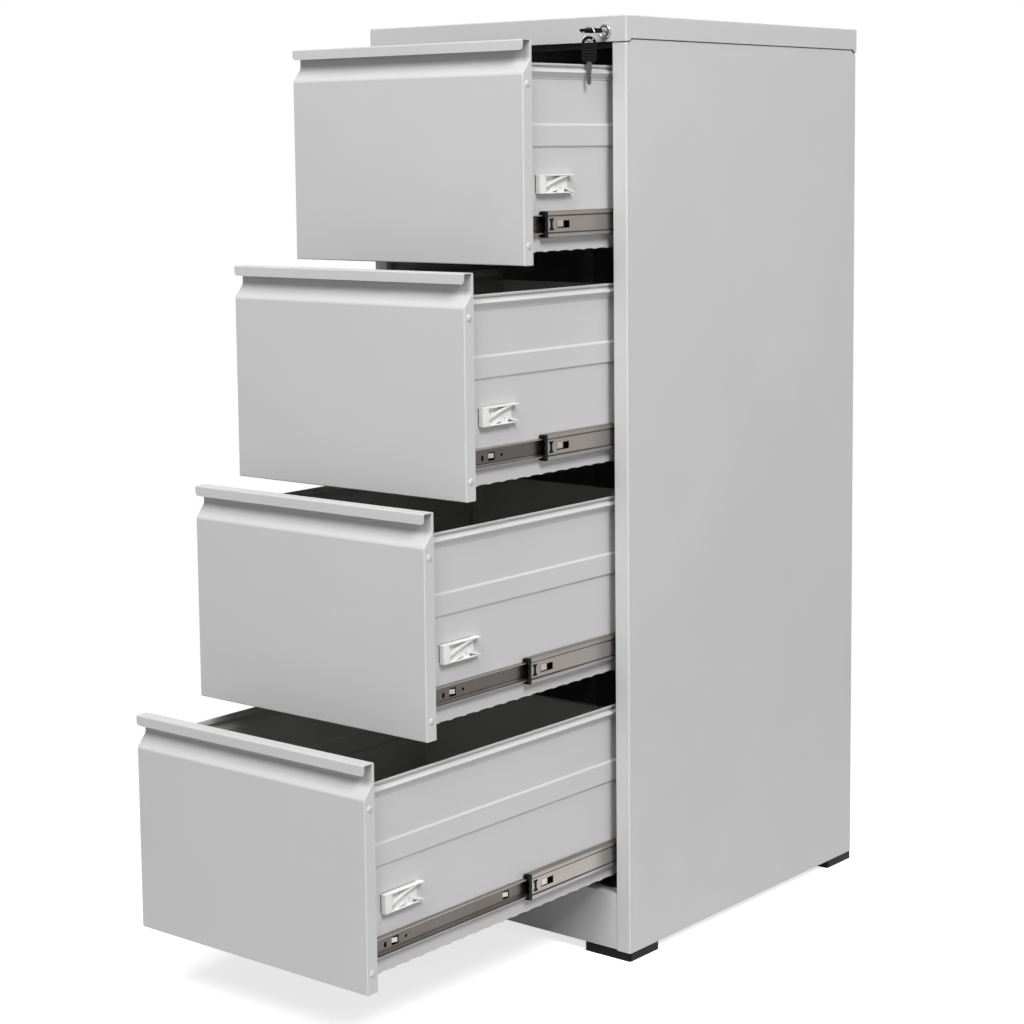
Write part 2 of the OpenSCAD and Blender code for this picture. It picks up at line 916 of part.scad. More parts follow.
module lock_cam()
  color(zinc)
    stand()
      translate([lock_cx, 0, lock_cz]) {
        rod_y(plug_r + cam_lip, cam_y, cam_y + plate_t);
        translate([-stud_side, 0, stud_up])
          rod_y(stud_r, cam_y, plate_back + 1, 32);
      }

// the bar runs down behind the right front upright; a bracket at its top reaches across to the cam's stud,
// and a pin stands out of it for each drawer
module lock_bar()
  color(zinc)
    stand() {
      stud_z = lock_cz + stud_up;
      front = pin_y - bar_w / 2;
      arm_low = bar_high - arm_h;
      slot_left = lock_cx - stud_reach - stud_r - bar_gap;
      slot_right = lock_cx - stud_side + stud_r + bar_gap;
      block([bar_x, front, bar_low], [bar_x + bar_t, front + bar_w, bar_high]);
      block([bar_x, plate_back + seam, arm_low], [bar_x + bar_t, front - seam, bar_high]);
      difference() {
        block([slot_left - slot_rim, slot_plate_y, arm_low], [bar_x + bar_t, plate_back, bar_high]);
        block([slot_left, slot_plate_y - 1, stud_z - stud_r - bar_gap],
              [slot_right, plate_back + 1, stud_z + stud_r + bar_gap]);
      }
      for (n = [1:4])
        translate([0, pin_y, drawer_z(n) + catch_z + pin_up])
          rod_x(pin_r, wall_x + catch_wall + pin_tip, bar_x - seam, 24);
    }

// plastic guides clipped to the right front upright, with a slot for the bar
module lock_bar_guides()
  color(white)
    stand()
      for (n = [1:4])
        translate([0, 0, drawer_z(n) + guide_z]) {
          edge = upright_ys[0] + upright_w;
          half = bar_w / 2 + bar_gap;
          left = bar_x - bar_gap;
          right = bar_x + bar_t + bar_gap;
          difference() {
            block([left - guide_wall, edge, 0], [right + guide_wall, pin_y + half + guide_wall, guide_h]);
            block([left, pin_y - half, -1], [right, pin_y + half, guide_h + 1]);
          }
        }

// The keys: the head's rounded end is at the origin and the key points along +Y.

end_r = head_w / 2;
hole_y = end_r - 1;

// the half-moon hole lies just inside the rounded end
module head_hole()
  intersection() {
    translate([0, end_r, -head_t])
      cylinder(r = end_r - head_web, h = 2 * head_t, $fn = 64);
    translate([-head_w, 0, -head_t])
      cube([2 * head_w, hole_y, 2 * head_t]);
  }

module key_head_shape()
  difference() {
    union() {
      translate([-end_r, end_r, -head_t / 2])
        cube([head_w, head_l - end_r, head_t]);
      translate([0, end_r, -head_end_t / 2])
        cylinder(r = end_r, h = head_end_t, $fn = 64);
    }
    head_hole();
  }

// the blade starts at the end of the head; it has cuts along one edge and a pointed tip
module key_blade_shape() {
  half = blade_w / 2;
  tip = head_l + blade_l;
  difference() {
    translate([0, 0, -blade_t / 2])
      linear_extrude(height = blade_t)
        polygon([
          [-half, head_l],
          [half, head_l],
          [half, tip - half],
          [0.6, tip],
          [-0.6, tip],
          [-half, tip - half]
        ]);
    for (i = [0:2])
      translate([half, head_l + blade_l - 6 - 4 * i, -blade_t])
        cylinder(r = 1.2, h = 2 * blade_t, $fn = 24);
  }
}

key_end_y = band_y - rim_t - key_out - head_l;
// the ring hangs across the key, through the middle of the hole
ring_y = key_end_y + (head_web + hole_y) / 2;
ring_x = lock_cx + ring_side;
ring_z = lock_cz - ring_drop;

module key_place()
  stand()
    translate([lock_cx, key_end_y, lock_cz])
      children();

module key_head()
  color(black)
    key_place()
      key_head_shape();

module key_blade()
  color(chrome)
    key_place()
      key_blade_shape();

module key_ring()
  color(chrome)
    stand()
      translate([ring_x, ring_y, ring_z])
        rotate([90, 0, 0])
          rotate_extrude($fn = 96)
            translate([ring_r, 0])
              circle(r = wire_r, $fn = 32);

// the spare hangs from the bottom of the ring, with its blade down
module spare_key()
  color(black)
    stand()
      translate([ring_x, ring_y, ring_z - ring_r + head_web + ring_seat])
        rotate([0, 0, spare_turn])
          rotate([-90, 0, 0]) {
            key_head_shape();
            key_blade_shape();
          }

side_panel_left();
side_panel_right();
back_panel();
top_cover();
top_rail();
floor_panel();
plinth_panel();
runner_uprights();
feet();
runner_outer_members();
lock_housing();
cabinet_fixings();
lock_bar_guides();
lock_plug();
lock_cam();
key_blade();
key_head();
key_ring();
spare_key();
lock_bar();
drawer_front(1);  // drawer_1_front
inner_front(1);  // drawer_1_inner_front
left_wall(1);  // drawer_1_left_wall
right_wall(1);  // drawer_1_right_wall
tray(1);  // drawer_1_tray
inner_members(1);  // drawer_1_inner_members
catch_part(1);  // drawer_1_catch
front_rivets(1);  // drawer_1_rivets
middle_members(1);  // runner_1_middle_members
cages(1);  // runner_1_cages
drawer_front(2);  // drawer_2_front
inner_front(2);  // drawer_2_inner_front
left_wall(2);  // drawer_2_left_wall
right_wall(2);  // drawer_2_right_wall
tray(2);  // drawer_2_tray
inner_members(2);  // drawer_2_inner_members
catch_part(2);  // drawer_2_catch
front_rivets(2);  // drawer_2_rivets
middle_members(2);  // runner_2_middle_members
cages(2);  // runner_2_cages
drawer_front(3);  // drawer_3_front
inner_front(3);  // drawer_3_inner_front
left_wall(3);  // drawer_3_left_wall
right_wall(3);  // drawer_3_right_wall
tray(3);  // drawer_3_tray
inner_members(3);  // drawer_3_inner_members
catch_part(3);  // drawer_3_catch
front_rivets(3);  // drawer_3_rivets
middle_members(3);  // runner_3_middle_members
cages(3);  // runner_3_cages
drawer_front(4);  // drawer_4_front
inner_front(4);  // drawer_4_inner_front
left_wall(4);  // drawer_4_left_wall
right_wall(4);  // drawer_4_right_wall
tray(4);  // drawer_4_tray
inner_members(4);  // drawer_4_inner_members
catch_part(4);  // drawer_4_catch
front_rivets(4);  // drawer_4_rivets
middle_members(4);  // runner_4_middle_members
cages(4);  // runner_4_cages
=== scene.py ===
# %% [markdown]
# # A steel filing cabinet, dressed for the camera
#
# This lesson takes the measured model of a four-drawer filing cabinet and gives it its looks: folded
# sheet steel with a light grey powder coat, ball-bearing runners, white moulded catches, a lock with
# two keys, and black feet. The measured model comes in first, as a fixed frame. Its sizes are read
# from the frame wherever that is possible, so a piece made here lands on the piece that it dresses.

# %% Load the measured model
import math

import bmesh
import bpy
from mathutils import Matrix, Vector


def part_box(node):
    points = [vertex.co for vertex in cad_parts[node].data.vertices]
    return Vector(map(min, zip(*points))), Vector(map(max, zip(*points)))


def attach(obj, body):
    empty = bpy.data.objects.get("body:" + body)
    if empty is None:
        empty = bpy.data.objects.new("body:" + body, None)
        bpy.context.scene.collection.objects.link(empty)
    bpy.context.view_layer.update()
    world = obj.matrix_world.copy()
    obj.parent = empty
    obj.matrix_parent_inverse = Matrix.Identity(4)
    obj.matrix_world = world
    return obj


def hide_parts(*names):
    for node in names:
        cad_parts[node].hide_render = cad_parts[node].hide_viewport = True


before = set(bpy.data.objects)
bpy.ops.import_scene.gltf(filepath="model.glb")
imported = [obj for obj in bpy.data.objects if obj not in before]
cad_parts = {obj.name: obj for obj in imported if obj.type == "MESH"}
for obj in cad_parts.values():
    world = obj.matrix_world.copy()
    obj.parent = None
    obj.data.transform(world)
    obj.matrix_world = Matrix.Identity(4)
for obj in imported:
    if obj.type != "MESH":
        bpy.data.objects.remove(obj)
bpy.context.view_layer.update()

DRAWERS = (1, 2, 3, 4)
SIDES = ((1, "right"), (-1, "left"))

# %% [markdown]
# ## The camera
#
# A long lens stood to the right of the cabinet, a little above its middle, and looked down by
# under seven degrees. The picture was then cropped, so the middle of the lens lies above the middle
# of the frame. Blender writes such a crop as a shift. The angles and the place below came from
# fitting the cabinet's own corners, and a camera made from three direction vectors needs no
# trial and error with rotations.

# %% Stand the camera
PICTURE = 1024
LENS_IN_PIXELS = 2254.35
LENS_MIDDLE_Y = 410
SENSOR_WIDTH = 36
CAMERA_PLACE = Vector((2.0628, -2.5151, 1.1422))
CAMERA_TURN = math.radians(39.461)
CAMERA_DIP = math.radians(-6.607)
CAMERA_ROLL = math.radians(-0.604)


def stand_camera():
    data = bpy.data.cameras.new("camera")
    data.sensor_width = SENSOR_WIDTH
    data.lens = SENSOR_WIDTH * LENS_IN_PIXELS / PICTURE
    data.shift_y = (LENS_MIDDLE_Y - PICTURE / 2) / PICTURE
    ahead = Vector((-math.sin(CAMERA_TURN) * math.cos(CAMERA_DIP),
                    math.cos(CAMERA_TURN) * math.cos(CAMERA_DIP), math.sin(CAMERA_DIP)))
    level = Vector((math.cos(CAMERA_TURN), math.sin(CAMERA_TURN), 0))
    upward = level.cross(ahead)
    right = level * math.cos(CAMERA_ROLL) + upward * math.sin(CAMERA_ROLL)
    up = upward * math.cos(CAMERA_ROLL) - level * math.sin(CAMERA_ROLL)
    turn = Matrix((right, up, -ahead)).transposed().to_4x4()
    camera = bpy.data.objects.new("camera", data)
    camera.matrix_world = Matrix.Translation(CAMERA_PLACE) @ turn
    bpy.context.scene.collection.objects.link(camera)
    bpy.context.scene.camera = camera
    return data


lens = stand_camera()
print("lens of", round(lens.lens, 1), "mm, shifted by", round(lens.shift_y, 3))

# %% [markdown]
# ## Finishes
#
# Every finish is a small recipe of shader nodes in the object's own metres, so that its grain has a
# real size. A picture of steel could be wrapped round the pieces instead, but nodes stay sharp at any
# distance and need no unwrapping. All the recipes share one helper, which adds a principled shader, a
# coordinate and as many noise textures as a finish asks for.

# %% A helper for the finishes
NOISE_LOW, NOISE_HIGH = 0.3, 0.7


class Finish:
    """A material under construction: nodes are added by name and wired to its shader."""

    def __init__(self, name, colour, roughness, metallic=0.0):
        self.material = bpy.data.materials.new(name)
        self.material.use_nodes = True
        self.tree = self.material.node_tree
        self.shader = self.tree.nodes["Principled BSDF"]
        self.shader.inputs["Base Color"].default_value = (*colour, 1)
        self.shader.inputs["Roughness"].default_value = roughness
        self.shader.inputs["Metallic"].default_value = metallic
        self.place = self.tree.nodes.new("ShaderNodeTexCoord").outputs["Object"]

    def join(self, source, target):
        self.tree.links.new(source, target)

    def drive(self, socket, source):
        """Lets a node's output set one of the shader's sockets."""
        self.join(source, self.shader.inputs[socket])

    def noise(self, size, detail, stretch=None):
        """Noise whose blotches are about size metres across, drawn out along one axis if asked."""
        node = self.tree.nodes.new("ShaderNodeTexNoise")
        node.inputs["Scale"].default_value = 1 / size
        node.inputs["Detail"].default_value = detail
        if stretch:
            mapping = self.tree.nodes.new("ShaderNodeMapping")
            mapping.inputs["Scale"].default_value = stretch
            self.join(self.place, mapping.inputs["Vector"])
            self.join(mapping.outputs["Vector"], node.inputs["Vector"])
        else:
            self.join(self.place, node.inputs["Vector"])
        return node.outputs["Fac"]

    def spread(self, value, low, high):
        """Turns a noise value into a number between low and high."""
        node = self.tree.nodes.new("ShaderNodeMapRange")
        node.inputs["From Min"].default_value = NOISE_LOW
        node.inputs["From Max"].default_value = NOISE_HIGH
        node.inputs["To Min"].default_value = low
        node.inputs["To Max"].default_value = high
        self.join(value, node.inputs["Value"])
        return node.outputs["Result"]

    def tint(self, value, colour_a, colour_b):
        """Turns a noise value into a colour between two colours."""
        node = self.tree.nodes.new("ShaderNodeMix")
        node.data_type = "RGBA"
        node.inputs["A"].default_value = (*colour_a, 1)
        node.inputs["B"].default_value = (*colour_b, 1)
        self.join(self.spread(value, 0, 1), node.inputs["Factor"])
        return node.outputs["Result"]

    def bump(self, value, depth, strength):
        """Lets a noise value raise the surface by up to depth metres."""
        node = self.tree.nodes.new("ShaderNodeBump")
        node.inputs["Distance"].default_value = depth
        node.inputs["Strength"].default_value = strength
        self.join(value, node.inputs["Height"])
        self.drive("Normal", node.outputs["Normal"])


def shade(colour, factor):
    """The same colour, lighter or darker."""
    return tuple(min(1.0, part * factor) for part in colour)


print("noise between", NOISE_LOW, "and", NOISE_HIGH, "is spread over each finish's own range")

# %% [markdown]
# ## Powder coat
#
# The steel is sprayed with a light grey powder and baked. From a step away the coat looks flat, but
# it has three signs of life: an orange-peel skin about a millimetre across, a sheen that wanders a
# little, and a tone that drifts by a per cent or two over a panel. Inside the drawers the same coat
# is given a darker grey as painted shade, and the rail behind the lock is painted nearly black as
# painted shade for the shadow it stands in.

# %% Powder coats
LIGHT_GREY = (0.560, 0.560, 0.562)
# Painted shade: the inside is the same coat, given a darker grey for the shade that falls in the drawers.
INSIDE_SHADE_GREY = (0.42, 0.42, 0.41)
# Painted shade: nearly black for the shadow on the rail behind the lock.
RAIL_SHADE_GREY = (0.06, 0.062, 0.06)
DRIFT_SIZE, SHEEN_SIZE, PEEL_SIZE = 0.22, 0.05, 0.0013
PEEL_DEPTH = 0.00004


def powder_coat(name, colour, roughness):
    finish = Finish(name, colour, roughness)
    drift = finish.noise(DRIFT_SIZE, 3)
    finish.drive("Base Color", finish.tint(drift, shade(colour, 0.975), shade(colour, 1.02)))
    sheen = finish.noise(SHEEN_SIZE, 3)
    finish.drive("Roughness", finish.spread(sheen, roughness - 0.04, roughness + 0.05))
    finish.bump(finish.noise(PEEL_SIZE, 2), PEEL_DEPTH, 0.35)
    return finish.material


grey_coat = powder_coat("light_grey_powder_coat", LIGHT_GREY, 0.46)
inside_shade_coat = powder_coat("inside_painted_shade_coat", INSIDE_SHADE_GREY, 0.6)
rail_shade_coat = powder_coat("rail_painted_shade_coat", RAIL_SHADE_GREY, 0.6)
print("powder coats:", grey_coat.name, inside_shade_coat.name, rail_shade_coat.name)

# %% [markdown]
# ## Zinc and nickel
#
# The runners are rolled from zinc-plated strip: rolling leaves long fine streaks, and the plating has
# a warm, patchy bloom. One recipe serves four tones of it. The middle members and the small hidden
# parts have the plain plating. The pressed tabs and plates take a lighter tone as a painted highlight,
# the inner members' webs a darker one as painted shade, and the narrow steps beside the ball tracks
# and the hanging key's blade are painted nearly black as painted shade. The lock and the ring are
# nickel, which is bright and only faintly scratched.

# %% Metals
BLOOM_SIZE, STREAK_SIZE, SCRATCH_SIZE = 0.09, 0.0012, 0.0008
ALONG_THE_STRIP, UP_AND_DOWN = (1, 0.02, 1), (1, 1, 0.15)
STREAK_DEPTH, SCRATCH_DEPTH = 0.00003, 0.00001


def zinc_plate(name, warm, cool):
    finish = Finish(name, warm, 0.34, metallic=1.0)
    finish.drive("Base Color", finish.tint(finish.noise(BLOOM_SIZE, 4), warm, cool))
    streaks = finish.noise(STREAK_SIZE, 4, stretch=ALONG_THE_STRIP)
    finish.drive("Roughness", finish.spread(streaks, 0.26, 0.44))
    finish.bump(streaks, STREAK_DEPTH, 0.5)
    return finish.material


def nickel():
    finish = Finish("nickel_plate", (0.46, 0.455, 0.445), 0.14, metallic=1.0)
    scratches = finish.noise(SCRATCH_SIZE, 5, stretch=UP_AND_DOWN)
    finish.drive("Roughness", finish.spread(scratches, 0.09, 0.22))
    finish.bump(scratches, SCRATCH_DEPTH, 0.4)
    return finish.material


zinc = zinc_plate("zinc_plate", (0.29, 0.258, 0.24), (0.31, 0.30, 0.285))
# Painted highlight: the same zinc, made lighter where the pressed tabs and plates catch the light.
highlight_zinc = zinc_plate("zinc_painted_highlight", (0.44, 0.43, 0.41), (0.40, 0.395, 0.38))
# Painted shade: the same zinc, darker for the shade on the inner members' webs.
web_shade_zinc = zinc_plate("web_shade_zinc", (0.105, 0.096, 0.09), (0.12, 0.115, 0.11))
# Painted shade: nearly black for the shade in the narrow steps beside the ball tracks and on the hanging
# key's blade.
painted_shade_steel = zinc_plate("painted_shade_steel", (0.05, 0.048, 0.046), (0.11, 0.107, 0.104))
bright = nickel()
print("metals:", zinc.name, highlight_zinc.name, web_shade_zinc.name, painted_shade_steel.name, bright.name)

# %% [markdown]
# ## Plastics
#
# The catches are white nylon. The feet, the runner stops and the key heads are black plastic. Both
# come out of a mould with a fine grain, which breaks their gloss, and a tone that is not quite even.

# %% Plastics
CLOUD_SIZE, GRAIN_SIZE, GRAIN_DEPTH = 0.02, 0.0006, 0.00003


def moulded_plastic(name, colour, roughness, gloss):
    finish = Finish(name, colour, roughness)
    finish.shader.inputs["Specular IOR Level"].default_value = gloss
    clouds = finish.noise(CLOUD_SIZE, 3)
    finish.drive("Base Color", finish.tint(clouds, shade(colour, 0.95), shade(colour, 1.04)))
    grain = finish.noise(GRAIN_SIZE, 2)
    finish.drive("Roughness", finish.spread(grain, roughness - 0.06, roughness + 0.06))
    finish.bump(grain, GRAIN_DEPTH, 0.4)
    return finish.material


white_nylon = moulded_plastic("white_nylon", (0.80, 0.80, 0.785), 0.42, 0.4)
black_plastic = moulded_plastic("black_plastic", (0.003, 0.003, 0.0033), 0.42, 0.1)
print("plastics:", white_nylon.name, black_plastic.name)

# %% [markdown]
# ## How a folded sheet is made here
#
# All the big pieces are one sheet of steel, a millimetre thick, cut flat and folded. The same order
# works in Blender. A piece starts as flat panels that share their corners. Each fold gets a bevel
# weight, which stands for its bend radius, and a bevel modifier rounds it. A solidify modifier then
# adds the sheet's thickness towards the inside, with its own finish there, and a last tiny bevel
# breaks the cut edges, so that they catch the light as real ones do. Boxes would be quicker to make,
# but their edges would show no bend and no thickness.

# %% From panels to a mesh
MM = 0.001
SHEET = 1.0
BIGGEST_BEND = 10.0
COLLECTION = bpy.context.scene.collection


def panels_mesh(name, panels, bends):
    """A mesh from flat panels in millimetres. bends lists (point, point, tangent length) of the folds."""
    corners, faces = {}, []
    for panel in panels:
        faces.append([corners.setdefault(tuple(round(v, 3) for v in p), len(corners)) for p in panel])
    mesh = bpy.data.meshes.new(name)
    mesh.from_pydata([Vector(p) * MM for p in corners], [], faces)
    mesh.validate()
    weights = mesh.attributes.new("bevel_weight_edge", "FLOAT", "EDGE")
    wanted = {}
    for a, b, length in bends:
        ends = [corners[tuple(round(v, 3) for v in p)] for p in (a, b)]
        wanted[frozenset(ends)] = length / BIGGEST_BEND
    for edge in mesh.edges:
        weights.data[edge.index].value = wanted.pop(frozenset(edge.vertices), 0)
    assert not wanted, f"{name}: {len(wanted)} bends are not on an edge"
    mesh.shade_smooth()
    return mesh


def outward(panel, side):
    """The panel of the left side is the right one's mirror image, so its corners run the other way."""
    return panel if side > 0 else panel[::-1]


print("sheet thickness", SHEET, "mm")

# %% From a mesh to a folded piece
SHARP_CORNER = 50


def new_piece(name, mesh, finishes, at=(0, 0, 0)):
    """Puts a mesh into the scene at a place given in metres. A shared mesh takes its finishes once."""
    if not mesh.materials:
        for finish in finishes:
            mesh.materials.append(finish)
    piece = bpy.data.objects.new(name, mesh)
    piece.location = at
    COLLECTION.objects.link(piece)
    return piece


def soften(piece, width, angle=SHARP_CORNER, steps=2):
    """A small bevel on sharp edges, and shading that keeps flat faces flat."""
    breaker = piece.modifiers.new("edges", "BEVEL")
    breaker.limit_method = "ANGLE"
    breaker.angle_limit = math.radians(angle)
    breaker.width = width * MM
    breaker.segments = steps
    breaker.use_clamp_overlap = True
    level = piece.modifiers.new("flat_faces", "WEIGHTED_NORMAL")
    level.keep_sharp = False


def fold(piece, thickness=SHEET, steps=4, inner=1, edge=0.25):
    """Rounds the folds, gives the sheet its thickness and breaks its cut edges."""
    rounder = piece.modifiers.new("folds", "BEVEL")
    rounder.limit_method = "WEIGHT"
    rounder.width = BIGGEST_BEND * MM
    rounder.segments = steps
    rounder.use_clamp_overlap = False
    thicken = piece.modifiers.new("sheet", "SOLIDIFY")
    thicken.thickness = thickness * MM
    thicken.offset = -1
    thicken.use_even_offset = True
    thicken.material_offset = inner
    soften(piece, edge)


def dress(piece, body, slot, *nodes):
    """The piece rides on a body and stands for measured pieces, which are hidden; slot is not used."""
    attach(piece, body)
    if nodes:
        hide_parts(*nodes)


print("a fold may be as wide as", BIGGEST_BEND, "mm, and edges over", SHARP_CORNER, "degrees are broken")

# %% [markdown]
# ## The drawer fronts
#
# A front is a shallow tray of steel, open at the back. Its face runs up to a finger recess: a slope
# leads back into the recess, its back wall rises with a large soft bend, and a lip hangs down in
# front of it, which the fingers pull. The side flanges are cut along the slope and keep a narrow
# strip beside the recess. One could carve the recess out of a block, but folding the panels gives it
# the right soft bends at once. One mesh serves all four drawers, and each copy is only moved.

# %% Sizes of a drawer front
front_low, front_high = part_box("drawer_1_front")
HALF_FRONT = front_high.x / MM
FRONT_H = (front_high.z - front_low.z) / MM
FRONT_DEPTH = (front_high.y - front_low.y) / MM
FACE_H, SLOPE_H, RECESS = 249.0, 18.0, 15.0
LIP_H, LIP_CORNER = 14.0, 5.0
# How far each fold reaches into its two panels.
SIDE_BEND, FOOT_BEND, LIP_BEND = 1.6, 1.5, 2.0
SLOPE_BEND, RECESS_BEND = 2.2, 3.8
FLANGE_BEND, STRIP_BEND = 0.8, 0.5
print("a drawer front is", round(2 * HALF_FRONT, 1), "x", round(FRONT_H, 1), "x", round(FRONT_DEPTH, 1), "mm")

# %% Lay out the panels of a front


def lip_panel(x, top):
    """The lip: a strip along the top whose two lower corners are rounded."""
    arc = [math.radians(a) for a in range(0, 91, 15)]
    corner = [(x - LIP_CORNER + LIP_CORNER * math.cos(a), 0,
               top - LIP_H + LIP_CORNER - LIP_CORNER * math.sin(a)) for a in arc]
    return [(x, 0, top), (-x, 0, top)] + [(-cx, 0, cz) for cx, _, cz in corner] + corner[::-1]


def drawer_front_mesh():
    x, back, top = HALF_FRONT, FRONT_DEPTH, FRONT_H
    slope_top = FACE_H + SLOPE_H
    under = top - SHEET
    face = [(-x, 0, 0), (x, 0, 0), (x, 0, FACE_H), (-x, 0, FACE_H)]
    slope = [(-x, 0, FACE_H), (x, 0, FACE_H), (x, RECESS, slope_top), (-x, RECESS, slope_top)]
    wall = [(-x, RECESS, slope_top), (x, RECESS, slope_top), (x, RECESS, under), (-x, RECESS, under)]
    bottom = [(-x, back, 0), (x, back, 0), (x, 0, 0), (-x, 0, 0)]
    shelf = [(-x, 0, top), (x, 0, top), (x, back, top), (-x, back, top)]
    flanges, bends = [], []
    for s in (-1, 1):
        flange = [(s * x, 0, 0), (s * x, back, 0), (s * x, back, under), (s * x, RECESS, under),
                  (s * x, RECESS, slope_top), (s * x, 0, FACE_H)]
        flanges.append(outward(flange, s))
        bends += [((s * x, 0, 0), (s * x, 0, FACE_H), SIDE_BEND),
                  ((s * x, 0, 0), (s * x, back, 0), FLANGE_BEND),
                  ((s * x, 0, FACE_H), (s * x, RECESS, slope_top), FLANGE_BEND),
                  ((s * x, RECESS, slope_top), (s * x, RECESS, under), STRIP_BEND)]
    bends += [((-x, 0, 0), (x, 0, 0), FOOT_BEND),
              ((-x, 0, FACE_H), (x, 0, FACE_H), SLOPE_BEND),
              ((-x, RECESS, slope_top), (x, RECESS, slope_top), RECESS_BEND),
              ((-x, 0, top), (x, 0, top), LIP_BEND)]
    panels = [face, slope, wall, bottom, shelf, lip_panel(x, top)] + flanges
    return panels_mesh("drawer_front", panels, bends)


front_mesh = drawer_front_mesh()
print("a front has", len(front_mesh.polygons), "panels")

# %% Put a front on each drawer


def drawer_spot(n):
    """The middle of a drawer's face, at the bottom edge, in metres."""
    low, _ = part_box(f"drawer_{n}_front")
    return Vector((0, low.y, low.z))


# The inner side of each front takes the darker inside coat, which is painted shade.
for n in DRAWERS:
    piece = new_piece(f"front_{n}", front_mesh, (grey_coat, inside_shade_coat), drawer_spot(n))
    fold(piece)
    dress(piece, f"drawer_{n}", "painted_steel", f"drawer_{n}_front")
print("four fronts share one mesh")

# %% [markdown]
# ## The drawers' side walls
#
# A side wall is a long strip. Its top edge is folded into a bead, which stiffens it and carries the
# hanging files, and ends in a small hem. A shallow rib runs along the middle, and the lower edge is
# cut into low tabs that hold the drawer's floor. A drawn section that is pulled along the drawer is
# the natural way to make it, because that is how the real strip is rolled. The section below is a
# list of corners, outwards from the wall and upwards, each with the size of its bend.

# %% Section of a side wall
wall_low, wall_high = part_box("drawer_1_right_wall")
WALL_H = (wall_high.z - wall_low.z) / MM
WALL_L = (wall_high.y - wall_low.y) / MM
WALL_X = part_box("drawer_1_tray")[1].x / MM + SHEET + 0.2
BEAD_H, BEAD_LIP, BEAD_D, BEAD_STEP = 20.0, 6.0, 6.0, 0.9
RIB_Z, RIB_H, RIB_SLANT, RIB_D = 137.0, 32.0, 2.6, 2.0
HEM_H, HEM_D, HEM_GAP = 2.4, 2.3, 0.2
NOTCH_PITCH, NOTCH_L, NOTCH_H, NOTCH_IN, NOTCH_SLANT = 27.0, 17.0, 1.0, 20.0, 1.0
bead_low = WALL_H - BEAD_H
bead_peak = bead_low + (BEAD_H - BEAD_LIP) * 0.7
bead_top = WALL_H - BEAD_LIP
WALL_SECTION = [
    (0, 0, 0),
    (0, RIB_Z, 0.8),
    (RIB_D, RIB_Z + RIB_SLANT, 0.8),
    (RIB_D, RIB_Z + RIB_H - RIB_SLANT, 0.8),
    (0, RIB_Z + RIB_H, 0.8),
    (0, bead_low, 0.5),
    (BEAD_STEP, bead_low + 0.5, 0.5),
    (BEAD_STEP, bead_low + 1.8, 0.6),
    (BEAD_D, bead_peak, 1.0),
    (SHEET, bead_top, 0.8),
    (SHEET, WALL_H - HEM_GAP, 0.6),
    (HEM_D, WALL_H - HEM_GAP, 0.6),
    (HEM_D, WALL_H - HEM_H, 0),
]
print("side wall", round(WALL_L, 1), "x", round(WALL_H, 1), "mm, outside at x", round(WALL_X, 1))

# %% Fold the side walls


def notched_edge(spot, start, end):
    """The lower edge of a wall, from front to back, with its row of low notches."""
    edge = [spot(0, start, 0)]
    count = int((WALL_L - 2 * NOTCH_IN - NOTCH_L) // NOTCH_PITCH) + 1
    for i in range(count):
        a = start + NOTCH_IN + i * NOTCH_PITCH
        b = a + NOTCH_L
        edge += [spot(0, a - NOTCH_SLANT, 0), spot(0, a + NOTCH_SLANT, NOTCH_H),
                 spot(0, b - NOTCH_SLANT, NOTCH_H), spot(0, b + NOTCH_SLANT, 0)]
    return edge + [spot(0, end, 0)]


def side_wall_mesh(side):
    """One wall, placed from its drawer's face; side is 1 for the right one and -1 for the left one."""
    start, end = FRONT_DEPTH, FRONT_DEPTH + WALL_L
    rise = (wall_low.z - front_low.z) / MM
    panels, bends = [], []

    def spot(out, along, up):
        return (side * (WALL_X + out), along, rise + up)

    for (w0, h0, _), (w1, h1, bend) in zip(WALL_SECTION, WALL_SECTION[1:]):
        edge = [spot(w0, start, h0), spot(w0, end, h0)] if h0 else notched_edge(spot, start, end)
        panels.append(outward(edge + [spot(w1, end, h1), spot(w1, start, h1)], side))
        if bend:
            bends.append((spot(w1, start, h1), spot(w1, end, h1), bend))
    return panels_mesh("side_wall", panels, bends)


# The inner side of each wall takes the darker inside coat, which is painted shade.
for side, word in SIDES:
    wall_mesh = side_wall_mesh(side)
    for n in DRAWERS:
        piece = new_piece(f"{word}_wall_{n}", wall_mesh, (grey_coat, inside_shade_coat), drawer_spot(n))
        fold(piece, steps=3, edge=0.2)
        dress(piece, f"drawer_{n}", "painted_steel", f"drawer_{n}_{word}_wall")
print("eight side walls of", len(WALL_SECTION) - 1, "strips each")

# %% [markdown]
# ## The case
#
# Each side of the case is one sheet: the big side panel, a flange round the mouth of the case with
# its edge turned back, and a flange at the back. At the top the sheet is set in, so that the cover's
# bands, which go over it like a shallow lid, lie level with it and leave only a dark seam. The set-in
# top is a sheet of its own here, which is simpler than folding it out of the side and looks the same
# behind the bands. The cover's front band is tall enough for the lock and goes round the corners,
# where it steps up to the lower side bands.

# %% Sizes of the case
cover_low, cover_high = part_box("top_cover")
side_low, side_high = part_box("side_panel_right")
FRONT_BAND, SIDE_BAND, BAND_WRAP, BAND_SLANT = 35.0, 31.0, 7.0, 5.0
SEAM, JOGGLE, JOGGLE_TUCK = 1.6, 4.0, 6.0
MOUTH_FLANGE, MOUTH_RETURN, REAR_FLANGE, FOOT_FLANGE = 23.5, 10.0, 20.0, 26.0
case_x = side_high.x / MM
case_front, case_back = side_low.y / MM, side_high.y / MM
case_bottom, case_top = side_low.z / MM, side_high.z / MM
mouth_x = case_x - MOUTH_FLANGE
print("case sides", round(case_top - case_bottom), "mm tall and", round(case_back - case_front), "mm deep")

# %% Lay out the sheets of a side


